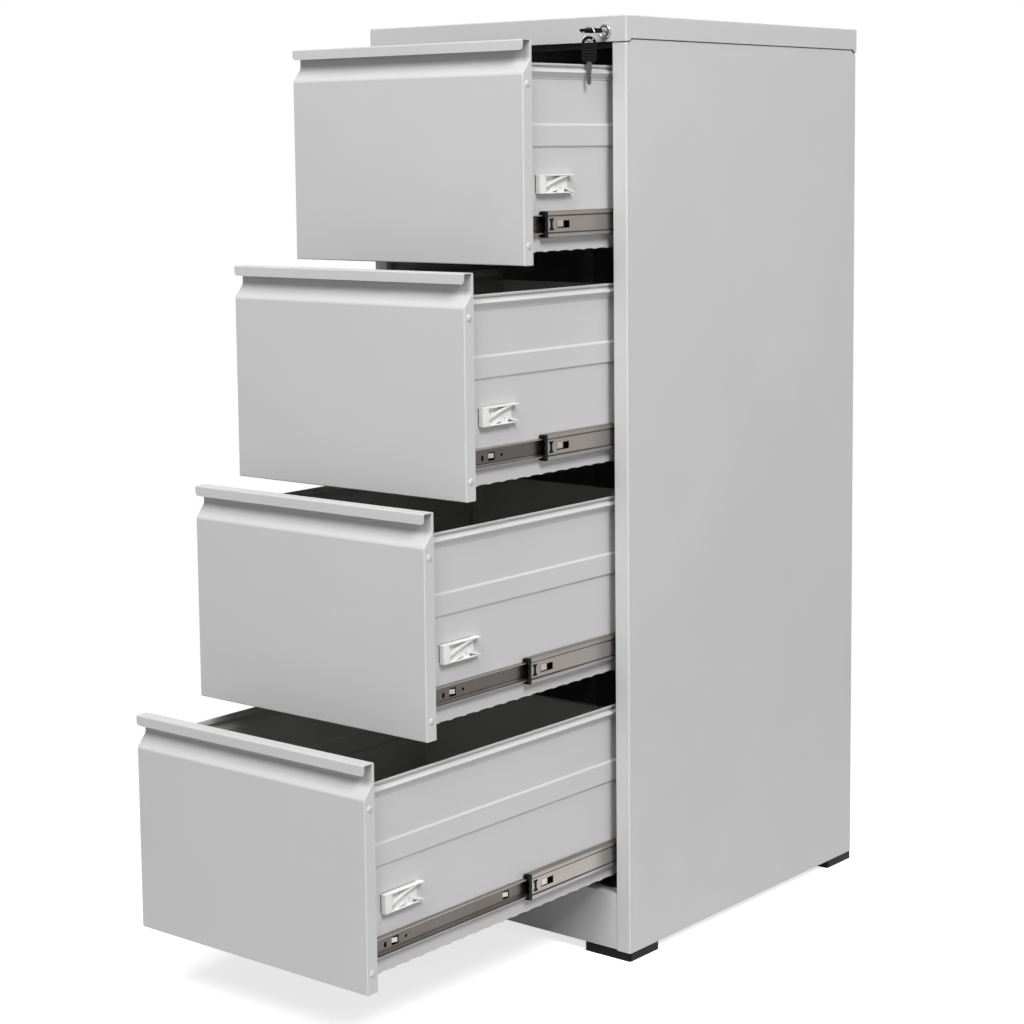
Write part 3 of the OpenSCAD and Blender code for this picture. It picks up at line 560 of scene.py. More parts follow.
def side_panel_mesh(side):
    """The sheet up to a hair's breadth below the cover, whose lower edge its top edge follows."""
    line = [(mouth_x, case_front + MOUTH_RETURN, 0), (mouth_x, case_front, 1.2), (case_x, case_front, 2.2),
            (case_x, case_back, 2.0), (case_x - REAR_FLANGE, case_back, 0)]
    low_top, high_top = cover_low.z / MM - SEAM, cover_high.z / MM - SIDE_BAND - SEAM
    wrap = BAND_WRAP + 1
    panels, bends = [], []
    for (x0, y0, _), (x1, y1, bend) in zip(line, line[1:]):
        top = [(side * x1, y1, low_top), (side * x0, y0, low_top)]
        if x0 == x1 == case_x:
            steps = [(y1 - wrap, low_top), (y1 - wrap - BAND_SLANT, high_top),
                     (y0 + wrap + BAND_SLANT, high_top), (y0 + wrap, low_top)]
            top[1:1] = [(side * x1, y, z) for y, z in steps]
        panel = [(side * x0, y0, case_bottom), (side * x1, y1, case_bottom)] + top
        panels.append(outward(panel, side))
        if bend:
            bends.append(((side * x1, y1, case_bottom), (side * x1, y1, low_top), bend))
    return panels_mesh("side_panel", panels, bends)


def side_joggle_mesh(side):
    """The sheet's top, which is set in by a few millimetres and stands behind the cover's bands."""
    x, a, b = case_x - JOGGLE, case_front + JOGGLE, case_back - JOGGLE
    low, high = cover_low.z / MM - JOGGLE_TUCK, case_top
    line = [(mouth_x, a), (x, a), (x, b), (case_x - REAR_FLANGE, b)]
    panels = []
    for (x0, y0), (x1, y1) in zip(line, line[1:]):
        panel = [(side * x0, y0, low), (side * x1, y1, low), (side * x1, y1, high), (side * x0, y0, high)]
        panels.append(outward(panel, side))
    bends = [((side * x, y, low), (side * x, y, high), 2.0) for y in (a, b)]
    return panels_mesh("side_joggle", panels, bends)


def bottom_flange_mesh(side):
    """The flange that turns in under the case and rests on the feet."""
    outer, inner = side * (case_x - SHEET), side * (case_x - FOOT_FLANGE)
    a, b, z = case_front + 4, case_back - 3, case_bottom
    panel = [(outer, a, z), (outer, b, z), (inner, b, z), (inner, a, z)]
    return panels_mesh("bottom_flange", [outward(panel, -side)], [])


print("the mouth of the case is", round(2 * mouth_x), "mm wide")

# %% Fold the sides
for side, word in SIDES:
    for what, mesh, steps in (("case_side", side_panel_mesh(side), 5),
                              ("case_foot_flange", bottom_flange_mesh(side), 4),
                              ("case_joggle", side_joggle_mesh(side), 4)):
        piece = new_piece(f"{what}_{word}", mesh, (grey_coat, grey_coat))
        fold(piece, steps=steps)
        dress(piece, "cabinet", "painted_steel", f"side_panel_{word}")
print("two sides of three sheets each")

# %% Fold the cover


def cover_mesh():
    x, top = cover_high.x / MM, cover_high.z / MM
    a, b = cover_low.y / MM, cover_high.y / MM
    tall, short = top - FRONT_BAND, top - SIDE_BAND
    plate = [(-x, a, top), (x, a, top), (x, b, top), (-x, b, top)]
    front = [(-x, a, tall), (x, a, tall), (x, a, top), (-x, a, top)]
    rear = [(x, b, tall), (-x, b, tall), (-x, b, top), (x, b, top)]
    bands = []
    bends = [((-x, a, top), (x, a, top), 1.8), ((-x, b, top), (x, b, top), 1.8)]
    for s in (-1, 1):
        band = [(s * x, a, tall), (s * x, a + BAND_WRAP, tall), (s * x, a + BAND_WRAP + BAND_SLANT, short),
                (s * x, b - BAND_WRAP - BAND_SLANT, short), (s * x, b - BAND_WRAP, tall), (s * x, b, tall),
                (s * x, b, top), (s * x, a, top)]
        bands.append(outward(band, s))
        bends += [((s * x, a, top), (s * x, b, top), 1.8),
                  ((s * x, a, tall), (s * x, a, top), 1.8),
                  ((s * x, b, tall), (s * x, b, top), 2.5)]
    return panels_mesh("cover", [plate, front, rear] + bands, bends)


cover = new_piece("cover", cover_mesh(), (grey_coat, grey_coat))
fold(cover)
dress(cover, "cabinet", "painted_steel", "top_cover")
print("cover", [round(v, 3) for v in cover_high - cover_low])

# %% [markdown]
# ## Strips with holes
#
# A runner's members are rolled strips, and their webs are punched. A boolean could cut the holes, but
# it leaves untidy faces on thin sheet. This helper fills the panel between its edge and the outlines
# of its holes instead, and gives that panel its own finish. The strip's outer side is on the left of
# the section's direction, so a section is listed in that order.

# %% Helper for rolled and punched strips


def punched_panel(bm, edge, holes):
    """Fills a panel between its edge and its holes."""
    edges = []
    for loop in [edge] + holes:
        for start, end in zip(loop, loop[1:] + loop[:1]):
            edges.append(bm.edges.get((start, end)) or bm.edges.new((start, end)))
    filled = bmesh.ops.triangle_fill(bm, use_beauty=True, edges=edges)
    return [face for face in filled["geom"] if isinstance(face, bmesh.types.BMFace)]


def strip_mesh(name, section, length, side, holes, holed, shaded_panels):
    """section lists (out, up, bend) corners; holes are outlines of (along, up) in the panel holed.

    The holed panel takes the second finish, and the panels listed in the last argument take the third, which
    is painted shade.
    """
    bm = bmesh.new()
    weight = bm.edges.layers.float.new("bevel_weight_edge")

    def corner(out, along, up):
        return bm.verts.new(Vector((side * (WALL_X + out), along, up)) * MM)

    rows = [[corner(w, 0, h), corner(w, length, h)] for w, h, _ in section]
    for i, (a, b) in enumerate(zip(rows, rows[1:])):
        edge = [a[0], b[0], b[1], a[1]]
        if i == holed:
            loops = [[corner(section[i][0], y, h) for y, h in hole] for hole in holes]
            for face in punched_panel(bm, edge, loops):
                face.material_index = 1
        else:
            bm.faces.new(edge).material_index = 2 if i in shaded_panels else 0
    for (_, _, bend), row in zip(section, rows):
        if bend:
            bm.edges.get(row)[weight] = bend / BIGGEST_BEND
    bmesh.ops.recalc_face_normals(bm, faces=bm.faces)
    first = next(f for f in bm.faces if set(rows[0]) <= set(f.verts))
    a, b = Vector(section[0][:2]), Vector(section[1][:2])
    left = Vector((side * -(b - a).y, 0, (b - a).x))
    if first.normal.dot(left) < 0:
        bmesh.ops.reverse_faces(bm, faces=bm.faces)
    return finished_mesh(name, bm)


def finished_mesh(name, bm):
    mesh = bpy.data.meshes.new(name)
    bm.to_mesh(mesh)
    bm.free()
    mesh.shade_smooth()
    return mesh


print("strips start at the wall's outer face, x", round(WALL_X, 1), "mm")

# %% [markdown]
# ## Prisms and turned pieces
#
# Moulded and pressed pieces are mostly flat outlines with a thickness, and a lathe makes the round
# ones. Two helpers cover both: one pulls an outline into a solid, and the other turns a profile round
# an axis. Each takes a small function that says where its three numbers point on the cabinet.

# %% Helpers for prisms and turned pieces


def prisms_mesh(name, parts, spot):
    """Solid prisms from outlines: each part is (outline, from, to), and spot turns (u, v, w) into mm."""
    bm = bmesh.new()
    for outline, start, end in parts:
        low = [bm.verts.new(Vector(spot(u, v, start)) * MM) for u, v in outline]
        high = [bm.verts.new(Vector(spot(u, v, end)) * MM) for u, v in outline]
        faces = [bm.faces.new(low), bm.faces.new(high)]
        for i in range(len(outline)):
            k = (i + 1) % len(outline)
            faces.append(bm.faces.new((low[i], low[k], high[k], high[i])))
        bmesh.ops.recalc_face_normals(bm, faces=faces)
    return finished_mesh(name, bm)


def turned_mesh(name, profile, spot, steps):
    """A turned piece: the profile lists (radius, along), and spot turns (across, up, along) into mm."""
    bm = bmesh.new()
    turn = [2 * math.pi * i / steps for i in range(steps)]
    rings = []
    for r, along in profile:
        points = [(r * math.cos(a), r * math.sin(a)) for a in turn] if r else [(0, 0)]
        rings.append([bm.verts.new(Vector(spot(u, v, along)) * MM) for u, v in points])
    for a, b in zip(rings, rings[1:]):
        for i in range(steps):
            k = (i + 1) % steps
            corners = dict.fromkeys([a[i % len(a)], a[k % len(a)], b[k % len(b)], b[i % len(b)]])
            if len(corners) > 2:
                bm.faces.new(list(corners))
    bmesh.ops.recalc_face_normals(bm, faces=bm.faces)
    return finished_mesh(name, bm)


def pulled_from_wall(side):
    """For outlines of (along, up) that are pulled outwards from a drawer's wall."""
    return lambda along, up, out: (side * (WALL_X + out), along, up)


def pulled_upwards(side, gap=0.0):
    """For outlines of (along, out) beside a drawer's wall that are pulled upwards."""
    return lambda along, out, up: (side * (WALL_X + gap + out), along, up)


print("outlines and profiles are drawn in millimetres of", MM, "m")

# %% Helpers for outlines
OVAL_STEPS = 16


def rectangle(left, right, low, high):
    return [(left, low), (right, low), (right, high), (left, high)]


def oval(y, h, half_l, half_h):
    turn = [2 * math.pi * i / OVAL_STEPS for i in range(OVAL_STEPS)]
    return [(y + half_l * math.cos(a), h + half_h * math.sin(a)) for a in turn]


def flipped(outline):
    """The outline upside down."""
    return [(u, -v) for u, v in outline][::-1]


def mirrored(outline):
    """The outline with left and right changed over."""
    return [(-u, v) for u, v in outline][::-1]


print("an oval has", OVAL_STEPS, "corners")

# %% [markdown]
# ## The runners' members
#
# The inner member hangs on the drawer's wall. Its web, painted a darker zinc as painted shade, shows two
# oval holes and lanced tabs, which are cut on three sides and bent out, and through the openings the
# wall's own slots look dark. The middle member slides between it and the case. Its edges bulge where
# the balls roll, and its web lies a little deeper, behind a narrow step. On both members these steps
# are painted nearly black as painted shade. Near its front end it is punched: a waisted opening, in
# which the plastic stop is clipped, and a slot. Slots cut into the folded walls would take many faces
# for a few dark spots, so thin black plates behind the openings stand for them, as painted shade.

# %% Sections of the members
RUNNER_STEEL, MIDDLE_STEEL = 1.2, 1.0
inner_low, inner_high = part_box("drawer_1_inner_members")
middle_low, middle_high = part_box("runner_1_middle_members")
inner_l, inner_h = (inner_high.y - inner_low.y) / MM, (inner_high.z - inner_low.z) / MM
middle_l, middle_h = (middle_high.y - middle_low.y) / MM, (middle_high.z - middle_low.z) / MM
inner_half, middle_half = inner_h / 2, middle_h / 2
MIDDLE_OUT = middle_high.x / MM - WALL_X
TRACK_DEEP, TRACK_H, STEP_H = 1.0, 5.2, 2.2
middle_web = MIDDLE_OUT - TRACK_DEEP
web_half = middle_half - TRACK_H - STEP_H
INNER_FLANGE, INNER_STEP = 8.2, 0.8
INNER_SECTION = [
    (INNER_FLANGE, -inner_half, 0),
    (0, -inner_half, 0.9),
    (0, -8.6, 0.4),
    (INNER_STEP, -7.6, 0.4),
    (INNER_STEP, 9.4, 0.4),
    (0, 10.4, 0.4),
    (0, inner_half, 0.9),
    (INNER_FLANGE, inner_half, 0),
]
MIDDLE_SECTION = [
    (RUNNER_STEEL, middle_half, 0),
    (MIDDLE_OUT, middle_half, 1.6),
    (MIDDLE_OUT, middle_half - TRACK_H, 0.5),
    (middle_web, web_half, 0.3),
    (middle_web, -web_half, 0.3),
    (MIDDLE_OUT, TRACK_H - middle_half, 0.5),
    (MIDDLE_OUT, -middle_half, 1.6),
    (RUNNER_STEEL, -middle_half, 0),
]
# Panels counted from a section's start: the punched web, and the steps beside it, which take painted shade.
WEB_PANEL, SHADED_STEP_PANELS = 3, (2, 4)
print("members", round(inner_l), "and", round(middle_l), "mm long")
print("and", round(inner_h), "and", round(middle_h), "mm tall")

# %% Holes, tabs and plates
LANCES = ((38, -5.5), (257, -5.5))
LANCE_L, LANCE_H = 13, 11
INNER_HOLES = [oval(26, -1, 2.6, 4.0), oval(65, 0, 2.4, 2.0)]
INNER_HOLES += [rectangle(y, y + LANCE_L, h, h + LANCE_H) for y, h in LANCES]
MIDDLE_HOLES = [[(3, -8), (14, -8), (11, -3), (11, 3), (14, 8), (3, 8), (6, 3), (6, -3)],
                [(20, -5.4), (47, -5.4), (47, 4.6), (34, 4.6), (34, -3.8), (20, -3.8)]]
PLATE = (rectangle(21, 32, -2.6, 5), middle_web + 0.02, middle_web + 0.5)
SHADE_PLATE_FROM, SHADE_PLATE_TO = 0.05, 0.35


def lanced_tabs():
    """Tabs that lean out of their openings: outlines along the drawer and outwards, pulled upwards."""
    parts = []
    for y, h in LANCES:
        tab = [(y + 0.4, 0.2), (y + 1.6, 0.2), (y + 8.6, 2.6), (y + 8.6, 3.6), (y + 7.6, 3.6), (y + 0.4, 1.2)]
        parts.append((tab, h + 3.4, h + 9.6))
    return parts


def slot_shade_plates():
    """Thin black plates behind the openings, as painted shade for the slots: one behind each tab, and one
    behind both ovals.
    """
    parts = []
    for y, h in LANCES:
        parts.append((rectangle(y - 1, y + LANCE_L + 2, SHADE_PLATE_FROM, SHADE_PLATE_TO), h - 1, h + LANCE_H + 1))
    return parts + [(rectangle(22, 68, SHADE_PLATE_FROM, SHADE_PLATE_TO), -5, 4)]


print(len(INNER_HOLES), "holes in an inner member and", len(MIDDLE_HOLES), "in a middle one")

# %% Put a pair of members in place


def hang_inner_member(n, word, member, tabs, slot_shades):
    """On one side of drawer n: the member, its tabs, and the black plates that stand as painted shade behind
    its openings.
    """
    body, node = f"drawer_{n}", f"drawer_{n}_inner_members"
    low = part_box(node)[0]
    at = (0, low.y, low.z + inner_half * MM)
    piece = new_piece(f"inner_member_{word}_{n}", member, (zinc, web_shade_zinc, painted_shade_steel), at)
    fold(piece, RUNNER_STEEL, steps=2, inner=0, edge=0.15)
    dress(piece, body, "zinc_steel", node)
    # The tabs take the lighter zinc as a painted highlight.
    piece = new_piece(f"lanced_tabs_{word}_{n}", tabs, (highlight_zinc,), at)
    soften(piece, 0.2)
    dress(piece, body, "zinc_steel")
    piece = new_piece(f"wall_slot_shades_{word}_{n}", slot_shades, (black_plastic,), at)
    dress(piece, body, "black_plastic")


def slide_in_middle_member(n, word, member, plate):
    """On one side of runner n: the member and the small plate pressed on its web."""
    body, node = f"runner_{n}", f"runner_{n}_middle_members"
    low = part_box(node)[0]
    at = (0, low.y, low.z + middle_half * MM)
    piece = new_piece(f"middle_member_{word}_{n}", member, (zinc, zinc, painted_shade_steel), at)
    fold(piece, MIDDLE_STEEL, steps=2, inner=0, edge=0.15)
    dress(piece, body, "zinc_steel", node)
    # The pressed plate takes the lighter zinc as a painted highlight.
    piece = new_piece(f"pressed_plate_{word}_{n}", plate, (highlight_zinc,), at)
    soften(piece, 0.2)
    dress(piece, body, "zinc_steel")


print("the steel is", RUNNER_STEEL, "mm thick in an inner member and", MIDDLE_STEEL, "mm in a middle one")

# %% Roll the members
for side, word in SIDES:
    inner = strip_mesh("inner_member", INNER_SECTION, inner_l, side, INNER_HOLES, WEB_PANEL, SHADED_STEP_PANELS)
    middle = strip_mesh("middle_member", MIDDLE_SECTION, middle_l, side, MIDDLE_HOLES, WEB_PANEL, SHADED_STEP_PANELS)
    tabs = prisms_mesh("lanced_tabs", lanced_tabs(), pulled_upwards(side, 0.4))
    slot_shades = prisms_mesh("wall_slot_shades", slot_shade_plates(), pulled_upwards(side))
    plate = prisms_mesh("pressed_plate", [PLATE], pulled_from_wall(side))
    for n in DRAWERS:
        hang_inner_member(n, word, inner, tabs, slot_shades)
        slide_in_middle_member(n, word, middle, plate)
print("eight inner members and eight middle members")

# %% [markdown]
# ## The runners' plastic stops and ball cages
#
# Each middle member carries a black stop on its front end. It has two ears that catch the inner
# member's track, a bar that joins them, and a waisted clip that shows through the member's opening.
# The balls sit in long cages. Single balls would hardly be seen between the members, so a cage here
# is a strip with one low wave for every ball, which shows as a dark, broken line.

# %% Outlines of a stop and a cage
CAGE_L, CAGE_HALF, WAVE_HALF, BALL_PITCH = 150.0, 2.2, 2.8, 6.0
CAGE_FROM, CAGE_TO, INNER_CAGE_Y = 2.0, 6.4, 27
STOP_L, EAR_FROM, BAR_FROM = 7, 1.4, 9.9
OUTER_HALF = 22.5
cage_low, cage_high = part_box("runner_1_cages")
outer_cage_y = (cage_high.y - cage_low.y) / MM - CAGE_L


def stop_parts():
    m, e = middle_half, inner_half - 0.5
    ear = [(0.6, e), (STOP_L, e), (STOP_L, m), (1.6, m), (0, m - 1.4), (0, e + 1.4)]
    bar = [(0, 1 - m), (STOP_L, 1 - m), (STOP_L, m - 1), (0, m - 1), (0, 9), (1.6, 7.6), (1.6, 3), (0, 1.6),
           (0, -1.6), (1.6, -3), (1.6, -7.6), (0, -9)]
    clip = rectangle(8.5, 21.5, -9, 9)
    return [(ear, EAR_FROM, MIDDLE_OUT - 0.1), (flipped(ear), EAR_FROM, MIDDLE_OUT - 0.1),
            (bar, BAR_FROM, MIDDLE_OUT), (clip, middle_web - 1.5, middle_web - 1.05)]


def cage_outline():
    """A strip with a scalloped edge: one low wave for each ball."""
    waves = []
    for i in range(int(CAGE_L / BALL_PITCH)):
        y = i * BALL_PITCH
        waves += [(y, CAGE_HALF), (y + BALL_PITCH * 0.2, WAVE_HALF), (y + BALL_PITCH * 0.8, WAVE_HALF)]
    return [(0, -CAGE_HALF), (CAGE_L, -CAGE_HALF), (CAGE_L, CAGE_HALF)] + waves[::-1]


def cage_parts():
    """Four cages for one side: between each pair of members, above and below."""
    inner_band = (inner_half + middle_half - RUNNER_STEEL) / 2
    outer_band = (middle_half + OUTER_HALF - RUNNER_STEEL) / 2
    parts = []
    for up in (-1, 1):
        for start, band, narrow in ((INNER_CAGE_Y, inner_band, 0.5), (outer_cage_y, outer_band, 0.4)):
            outline = [(start + u, up * band + v * narrow) for u, v in cage_outline()]
            parts.append((outline, CAGE_FROM, CAGE_TO))
    return parts


print(int(CAGE_L / BALL_PITCH), "ball pockets in each cage")

# %% Mould the stops and cages
for side, word in SIDES:
    stop_mesh = prisms_mesh("plastic_stop", stop_parts(), pulled_from_wall(side))
    cage_mesh = prisms_mesh("ball_cages", cage_parts(), pulled_from_wall(side))
    for n in DRAWERS:
        low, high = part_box(f"runner_{n}_cages")
        at = (0, low.y, (low.z + high.z) / 2)
        for mesh, what in ((stop_mesh, "stop"), (cage_mesh, "ball_cages")):
            piece = new_piece(f"{what}_{word}_{n}", mesh, (black_plastic,), at)
            soften(piece, 0.3)
            dress(piece, f"runner_{n}", "black_plastic", f"runner_{n}_cages")
print("eight stops, each with its four cages")

# %% [markdown]
# ## The catches
#
# A catch is one white moulding: a plate with raised walls round it. A long ramp runs up across it
# towards the back, and a ridge rises to a peak below, with a slot at the peak, into which the locking
# bar's pin drops. Both walls run on past the plate as pointed prongs. The walls are thin bars on the
# plate, so the hollows between them are real and keep their shadows.

# %% Outlines of a catch
catch_low, catch_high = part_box("drawer_1_catch")
CATCH_L = (catch_high.y - catch_low.y) / MM
CATCH_H = (catch_high.z - catch_low.z) / MM
CATCH_D = (catch_high.x - catch_low.x) / MM
CATCH_WALL, CATCH_SEAT = 1.8, 0.1
PIN_AT, HALF_SLOT, RIDGE = CATCH_L * 0.6, 4.5, 9.3


def catch_parts():
    end, top, deep, wall = CATCH_L, CATCH_H, CATCH_D, CATCH_WALL
    a, b = PIN_AT - HALF_SLOT, PIN_AT + HALF_SLOT
    base = [(0.6, 0), (end - 8, 0), (end - 8, top), (0.6, top), (0, top - 0.6), (0, 0.6)]
    block = [(0.4, 0), (10, 0), (12, 1.6), (12, top - 1.8), (10, top), (0.4, top), (0, top - 0.4), (0, 0.4)]
    upper_wall = [(10, top - wall), (end - 6, top - wall), (end, top - 0.9), (end - 0.5, top), (10, top)]
    lower_wall = rectangle(10, end - 10, 0, wall)
    ramp = [(11, 8.4), (12.5, 7.6), (20, 10.4), (40, 17.2), (52, 20.6), (end - 10, top - 2),
            (end - 10, top - 0.5), (51, top - 0.5), (38, 20.2), (20, 13.8), (11, 10.6)]
    rise = [(13, 0.4), (20, 0.4), (a - 8, 3.4), (a, 3.4), (a, 6.2), (a - 6, 6.2), (25, 4.2)]
    post = rectangle(a - 1.8, a, 1.2, 5)
    fall = [(b, 1.2), (b + 2.2, 1.2), (b + 2.2, 6.2), (end - 9, 2.2), (end - 0.6, 0), (end, 0.9),
            (end - 8, 5.0), (b + 3, RIDGE), (b, RIDGE)]
    heights = ((base, wall), (block, deep), (upper_wall, deep), (lower_wall, deep), (ramp, deep - 0.6),
               (rise, deep - 1.2), (post, deep - 1.2), (fall, deep - 0.4))
    return [(outline, CATCH_SEAT, height) for outline, height in heights]


print("catch", round(CATCH_L), "x", round(CATCH_H), "x", round(CATCH_D), "mm")

# %% Mould the catches
catch_mesh = prisms_mesh("catch", catch_parts(), pulled_from_wall(1))
for n in DRAWERS:
    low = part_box(f"drawer_{n}_catch")[0]
    piece = new_piece(f"catch_{n}", catch_mesh, (white_nylon,), (0, low.y, low.z))
    soften(piece, 0.45, angle=30)
    dress(piece, f"drawer_{n}", "white_plastic", f"drawer_{n}_catch")
print("four catches of", len(catch_parts()), "bars and blocks each")

# %% [markdown]
# ## Rivets
#
# The side flanges of a front are riveted. A rivet's head is a low dome with a thin flat brim, turned
# here from half of its section, because a squashed sphere would have no brim. It carries the same
# coat as the front.

# %% Turn the rivets
RIVET_R, RIVET_DOME, RIVET_STEPS = 5.0, 1.4, 32
BRIM, BRIM_H = 0.7, 0.25
profile = [(0, RIVET_DOME)]
for degrees in range(75, 0, -15):
    a = math.radians(degrees)
    profile.append(((RIVET_R - BRIM) * math.cos(a), BRIM_H + (RIVET_DOME - BRIM_H) * math.sin(a)))
profile += [(RIVET_R - 0.5, 0.22), (RIVET_R, 0.1), (RIVET_R, 0)]
for side, word in SIDES:
    rivet_mesh = turned_mesh("rivet", profile, lambda u, v, w, s=side: (s * w, u, v), RIVET_STEPS)
    for n in DRAWERS:
        low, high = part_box(f"drawer_{n}_rivets")
        for z in (low.z + RIVET_R * MM, high.z - RIVET_R * MM):
            at = (side * HALF_FRONT * MM, (low.y + high.y) / 2, z)
            piece = new_piece(f"rivet_{word}_{n}", rivet_mesh, (grey_coat,), at)
            dress(piece, f"drawer_{n}", "painted_steel", f"drawer_{n}_rivets")
print("sixteen rivets of", 2 * RIVET_R, "mm")

# %% [markdown]
# ## The lock
#
# The lock's rim is turned: a rounded ring that dips towards the plug. Behind the band it is a plain
# barrel. The plug has a bevelled face with a real keyway, which the key's blade fills. Four prisms
# leave that keyway free, so nothing has to be cut out.

# %% Turn the lock's rim
housing_low, housing_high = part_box("lock_housing")
plug_low, plug_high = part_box("lock_plug")
lock_at = Vector(((plug_low.x + plug_high.x) / 2, 0, (plug_low.z + plug_high.z) / 2))
RIM_R, RIM_BORE, BARREL_R, RIM_D, RIM_STEPS = 10.0, 6.3, 8.5, 3.5, 64
RIM_ROUND = ((RIM_BORE, 1.6), (7.0, 0.9), (7.6, 0.3), (8.2, 0), (8.9, 0.2), (9.5, 0.8), (RIM_R - 0.1, 1.7),
             (RIM_R, 2.6), (RIM_R, RIM_D), (BARREL_R, RIM_D))
rim_face, barrel_end = housing_low.y / MM, housing_high.y / MM
rim_profile = [(r, rim_face + deep) for r, deep in RIM_ROUND]
rim_profile = [(RIM_BORE, barrel_end)] + rim_profile + [(BARREL_R, barrel_end), (RIM_BORE, barrel_end)]


def set_in_band(across, up, deep):
    """The lock's pieces are drawn as seen from the front and go straight into the band."""
    return (across, deep, up)


rim_mesh = turned_mesh("lock_rim", rim_profile, set_in_band, RIM_STEPS)
rim = new_piece("lock_rim", rim_mesh, (bright,), lock_at)
soften(rim, 0.15)
dress(rim, "cabinet", "bright_metal", "lock_housing")
print("lock at x", round(lock_at.x, 4), "z", round(lock_at.z, 4), "m")

# %% Make the plug
PLUG_R, KEYWAY_HALF, BLADE_T = 6.0, 3.5, 1.25
plug_face, plug_end = plug_low.y / MM + 0.4, plug_high.y / MM


def plug_parts():
    """The plug in four bits: above, below and at both ends of the keyway."""
    arc = [math.radians(a) for a in range(0, 181, 12)]
    start = math.asin(BLADE_T / PLUG_R)
    edge = PLUG_R * math.cos(start)
    upper = [(PLUG_R * math.cos(a), PLUG_R * math.sin(a)) for a in arc if start < a < math.pi - start]
    upper = [(edge, BLADE_T)] + upper + [(-edge, BLADE_T)]
    end_bit = rectangle(KEYWAY_HALF, edge, -BLADE_T, BLADE_T)
    return [(part, plug_face, plug_end) for part in (upper, flipped(upper), end_bit, mirrored(end_bit))]


plug = new_piece("lock_plug_face", prisms_mesh("lock_plug", plug_parts(), set_in_band), (bright,), lock_at)
soften(plug, 0.3)
dress(plug, "lock", "bright_metal", "lock_plug")
print("plug of", 2 * PLUG_R, "mm with a keyway of", 2 * KEYWAY_HALF, "x", 2 * BLADE_T, "mm")

# %% [markdown]
# ## The keys
#
# Two keys share one ring. Their black heads are moulded round the blades: a thin rounded end with a
# half-moon hole, and a thicker grip with ribs across it. One sits level in the lock, seen along its
# edge. The other hangs from the ring, half turned. Both come from the same outlines, and only the
# function that places them differs, except that the hanging key's blade is painted nearly black as
# painted shade.

# %% Outlines of a key's head
HEAD_L, HEAD_W, HEAD_T, HEAD_END_T, HOLE_R, HOLE_FLAT = 34.0, 20.0, 6.0, 3.0, 6.0, 1.0
GRIP_CORNER, GRIP_INSET = 3, 0.5
RIBS, RIB_WIDTH, RIB_INSET, RIB_THICK = (13.5, 17.5, 21.5, 25.5, 29.5), 1.8, 1.5, 0.7


def head_end():
    """The left half of the rounded end: its outline goes round half of the hole."""
    r = HEAD_W / 2
    low = r - HOLE_FLAT
    arc = [math.radians(a) for a in range(180, 361, 10)]
    rounded = [(r * math.cos(a), r + r * math.sin(a)) for a in arc]
    hole = [(HOLE_R * math.cos(a), r + HOLE_R * math.sin(a)) for a in arc]
    corner = math.sqrt(HOLE_R ** 2 - HOLE_FLAT ** 2)
    hole = [(-corner, low)] + [p for p in hole if p[0] < -0.01 and p[1] < low]
    outer = [(-r, r)] + [p for p in rounded if p[0] < 0 and p[1] < r]
    return outer + [(0, 0), (0, r - HOLE_R)] + hole[::-1] + [(-corner, r + 0.6), (-r, r + 0.6)]


def head_parts():
    r, t, e = HEAD_W / 2, HEAD_T / 2, HEAD_END_T / 2
    cut = GRIP_CORNER
    grip = [(-r, r), (r, r), (r, HEAD_L - cut), (r - cut, HEAD_L), (-r + cut, HEAD_L), (-r, HEAD_L - cut)]
    parts = [(head_end(), -e, e), (mirrored(head_end()), -e, e), (grip, GRIP_INSET - t, t - GRIP_INSET)]
    for y in RIBS:
        rib = rectangle(RIB_INSET - r, r - RIB_INSET, y, y + RIB_WIDTH)
        parts += [(rib, t - RIB_THICK, t), (rib, -t, RIB_THICK - t)]
    return parts


print("a key's head is", HEAD_L, "x", HEAD_W, "mm, with", len(RIBS), "ribs on each face")

# %% Outlines of a key's blade
BLADE_L, BLADE_HALF, BLADE_POINT, BLADE_THICK = 31.0, 3.25, 0.6, 0.95
CUTS = (5, 9, 13, 17)
CUT_DEPTH = 1.1


def blade_parts():
    start, tip = HEAD_L - 2.0, HEAD_L + BLADE_L
    shoulder = tip - BLADE_HALF
    bitted = [(BLADE_HALF, shoulder)]
    for back in CUTS:
        y = tip - back
        bitted += [(BLADE_HALF, y + 1.6), (BLADE_HALF - CUT_DEPTH, y + 0.7),
                   (BLADE_HALF - CUT_DEPTH, y - 0.3), (BLADE_HALF, y - 1.2)]
    outline = [(-BLADE_HALF, start), (-BLADE_HALF, shoulder), (-BLADE_POINT, tip), (BLADE_POINT, tip)]
    outline += bitted + [(BLADE_HALF, start)]
    flute = rectangle(-0.4, 0.8, start, tip - 5)
    return [(outline, -BLADE_THICK, BLADE_THICK), (flute, 0.7, 1.0), (flute, -1.0, -0.7)]


print("its blade is", BLADE_L, "mm long, with", len(CUTS), "cuts")

# %% The key in the lock
level_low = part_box("key_head")[0]
level_at = Vector((lock_at.x, level_low.y, lock_at.z))


def level(across, ahead, up):
    """The key lies flat and points into the lock."""
    return (across, ahead, up)


head = new_piece("level_key_head", prisms_mesh("key_head", head_parts(), level), (black_plastic,), level_at)
soften(head, 0.5, angle=40, steps=3)
dress(head, "lock", "black_plastic", "key_head")
blade = new_piece("level_key_blade", prisms_mesh("key_blade", blade_parts(), level), (bright,), level_at)
soften(blade, 0.15, angle=40)
dress(blade, "lock", "bright_metal", "key_blade")
print("the key starts", round((plug_low.y - level_low.y) / MM), "mm in front of the plug")

# %% The key on the ring
spare_low, spare_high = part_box("spare_key")
SPARE_TURN = math.radians(32)
spare_at = Vector(((spare_low.x + spare_high.x) / 2, (spare_low.y + spare_high.y) / 2, spare_high.z))


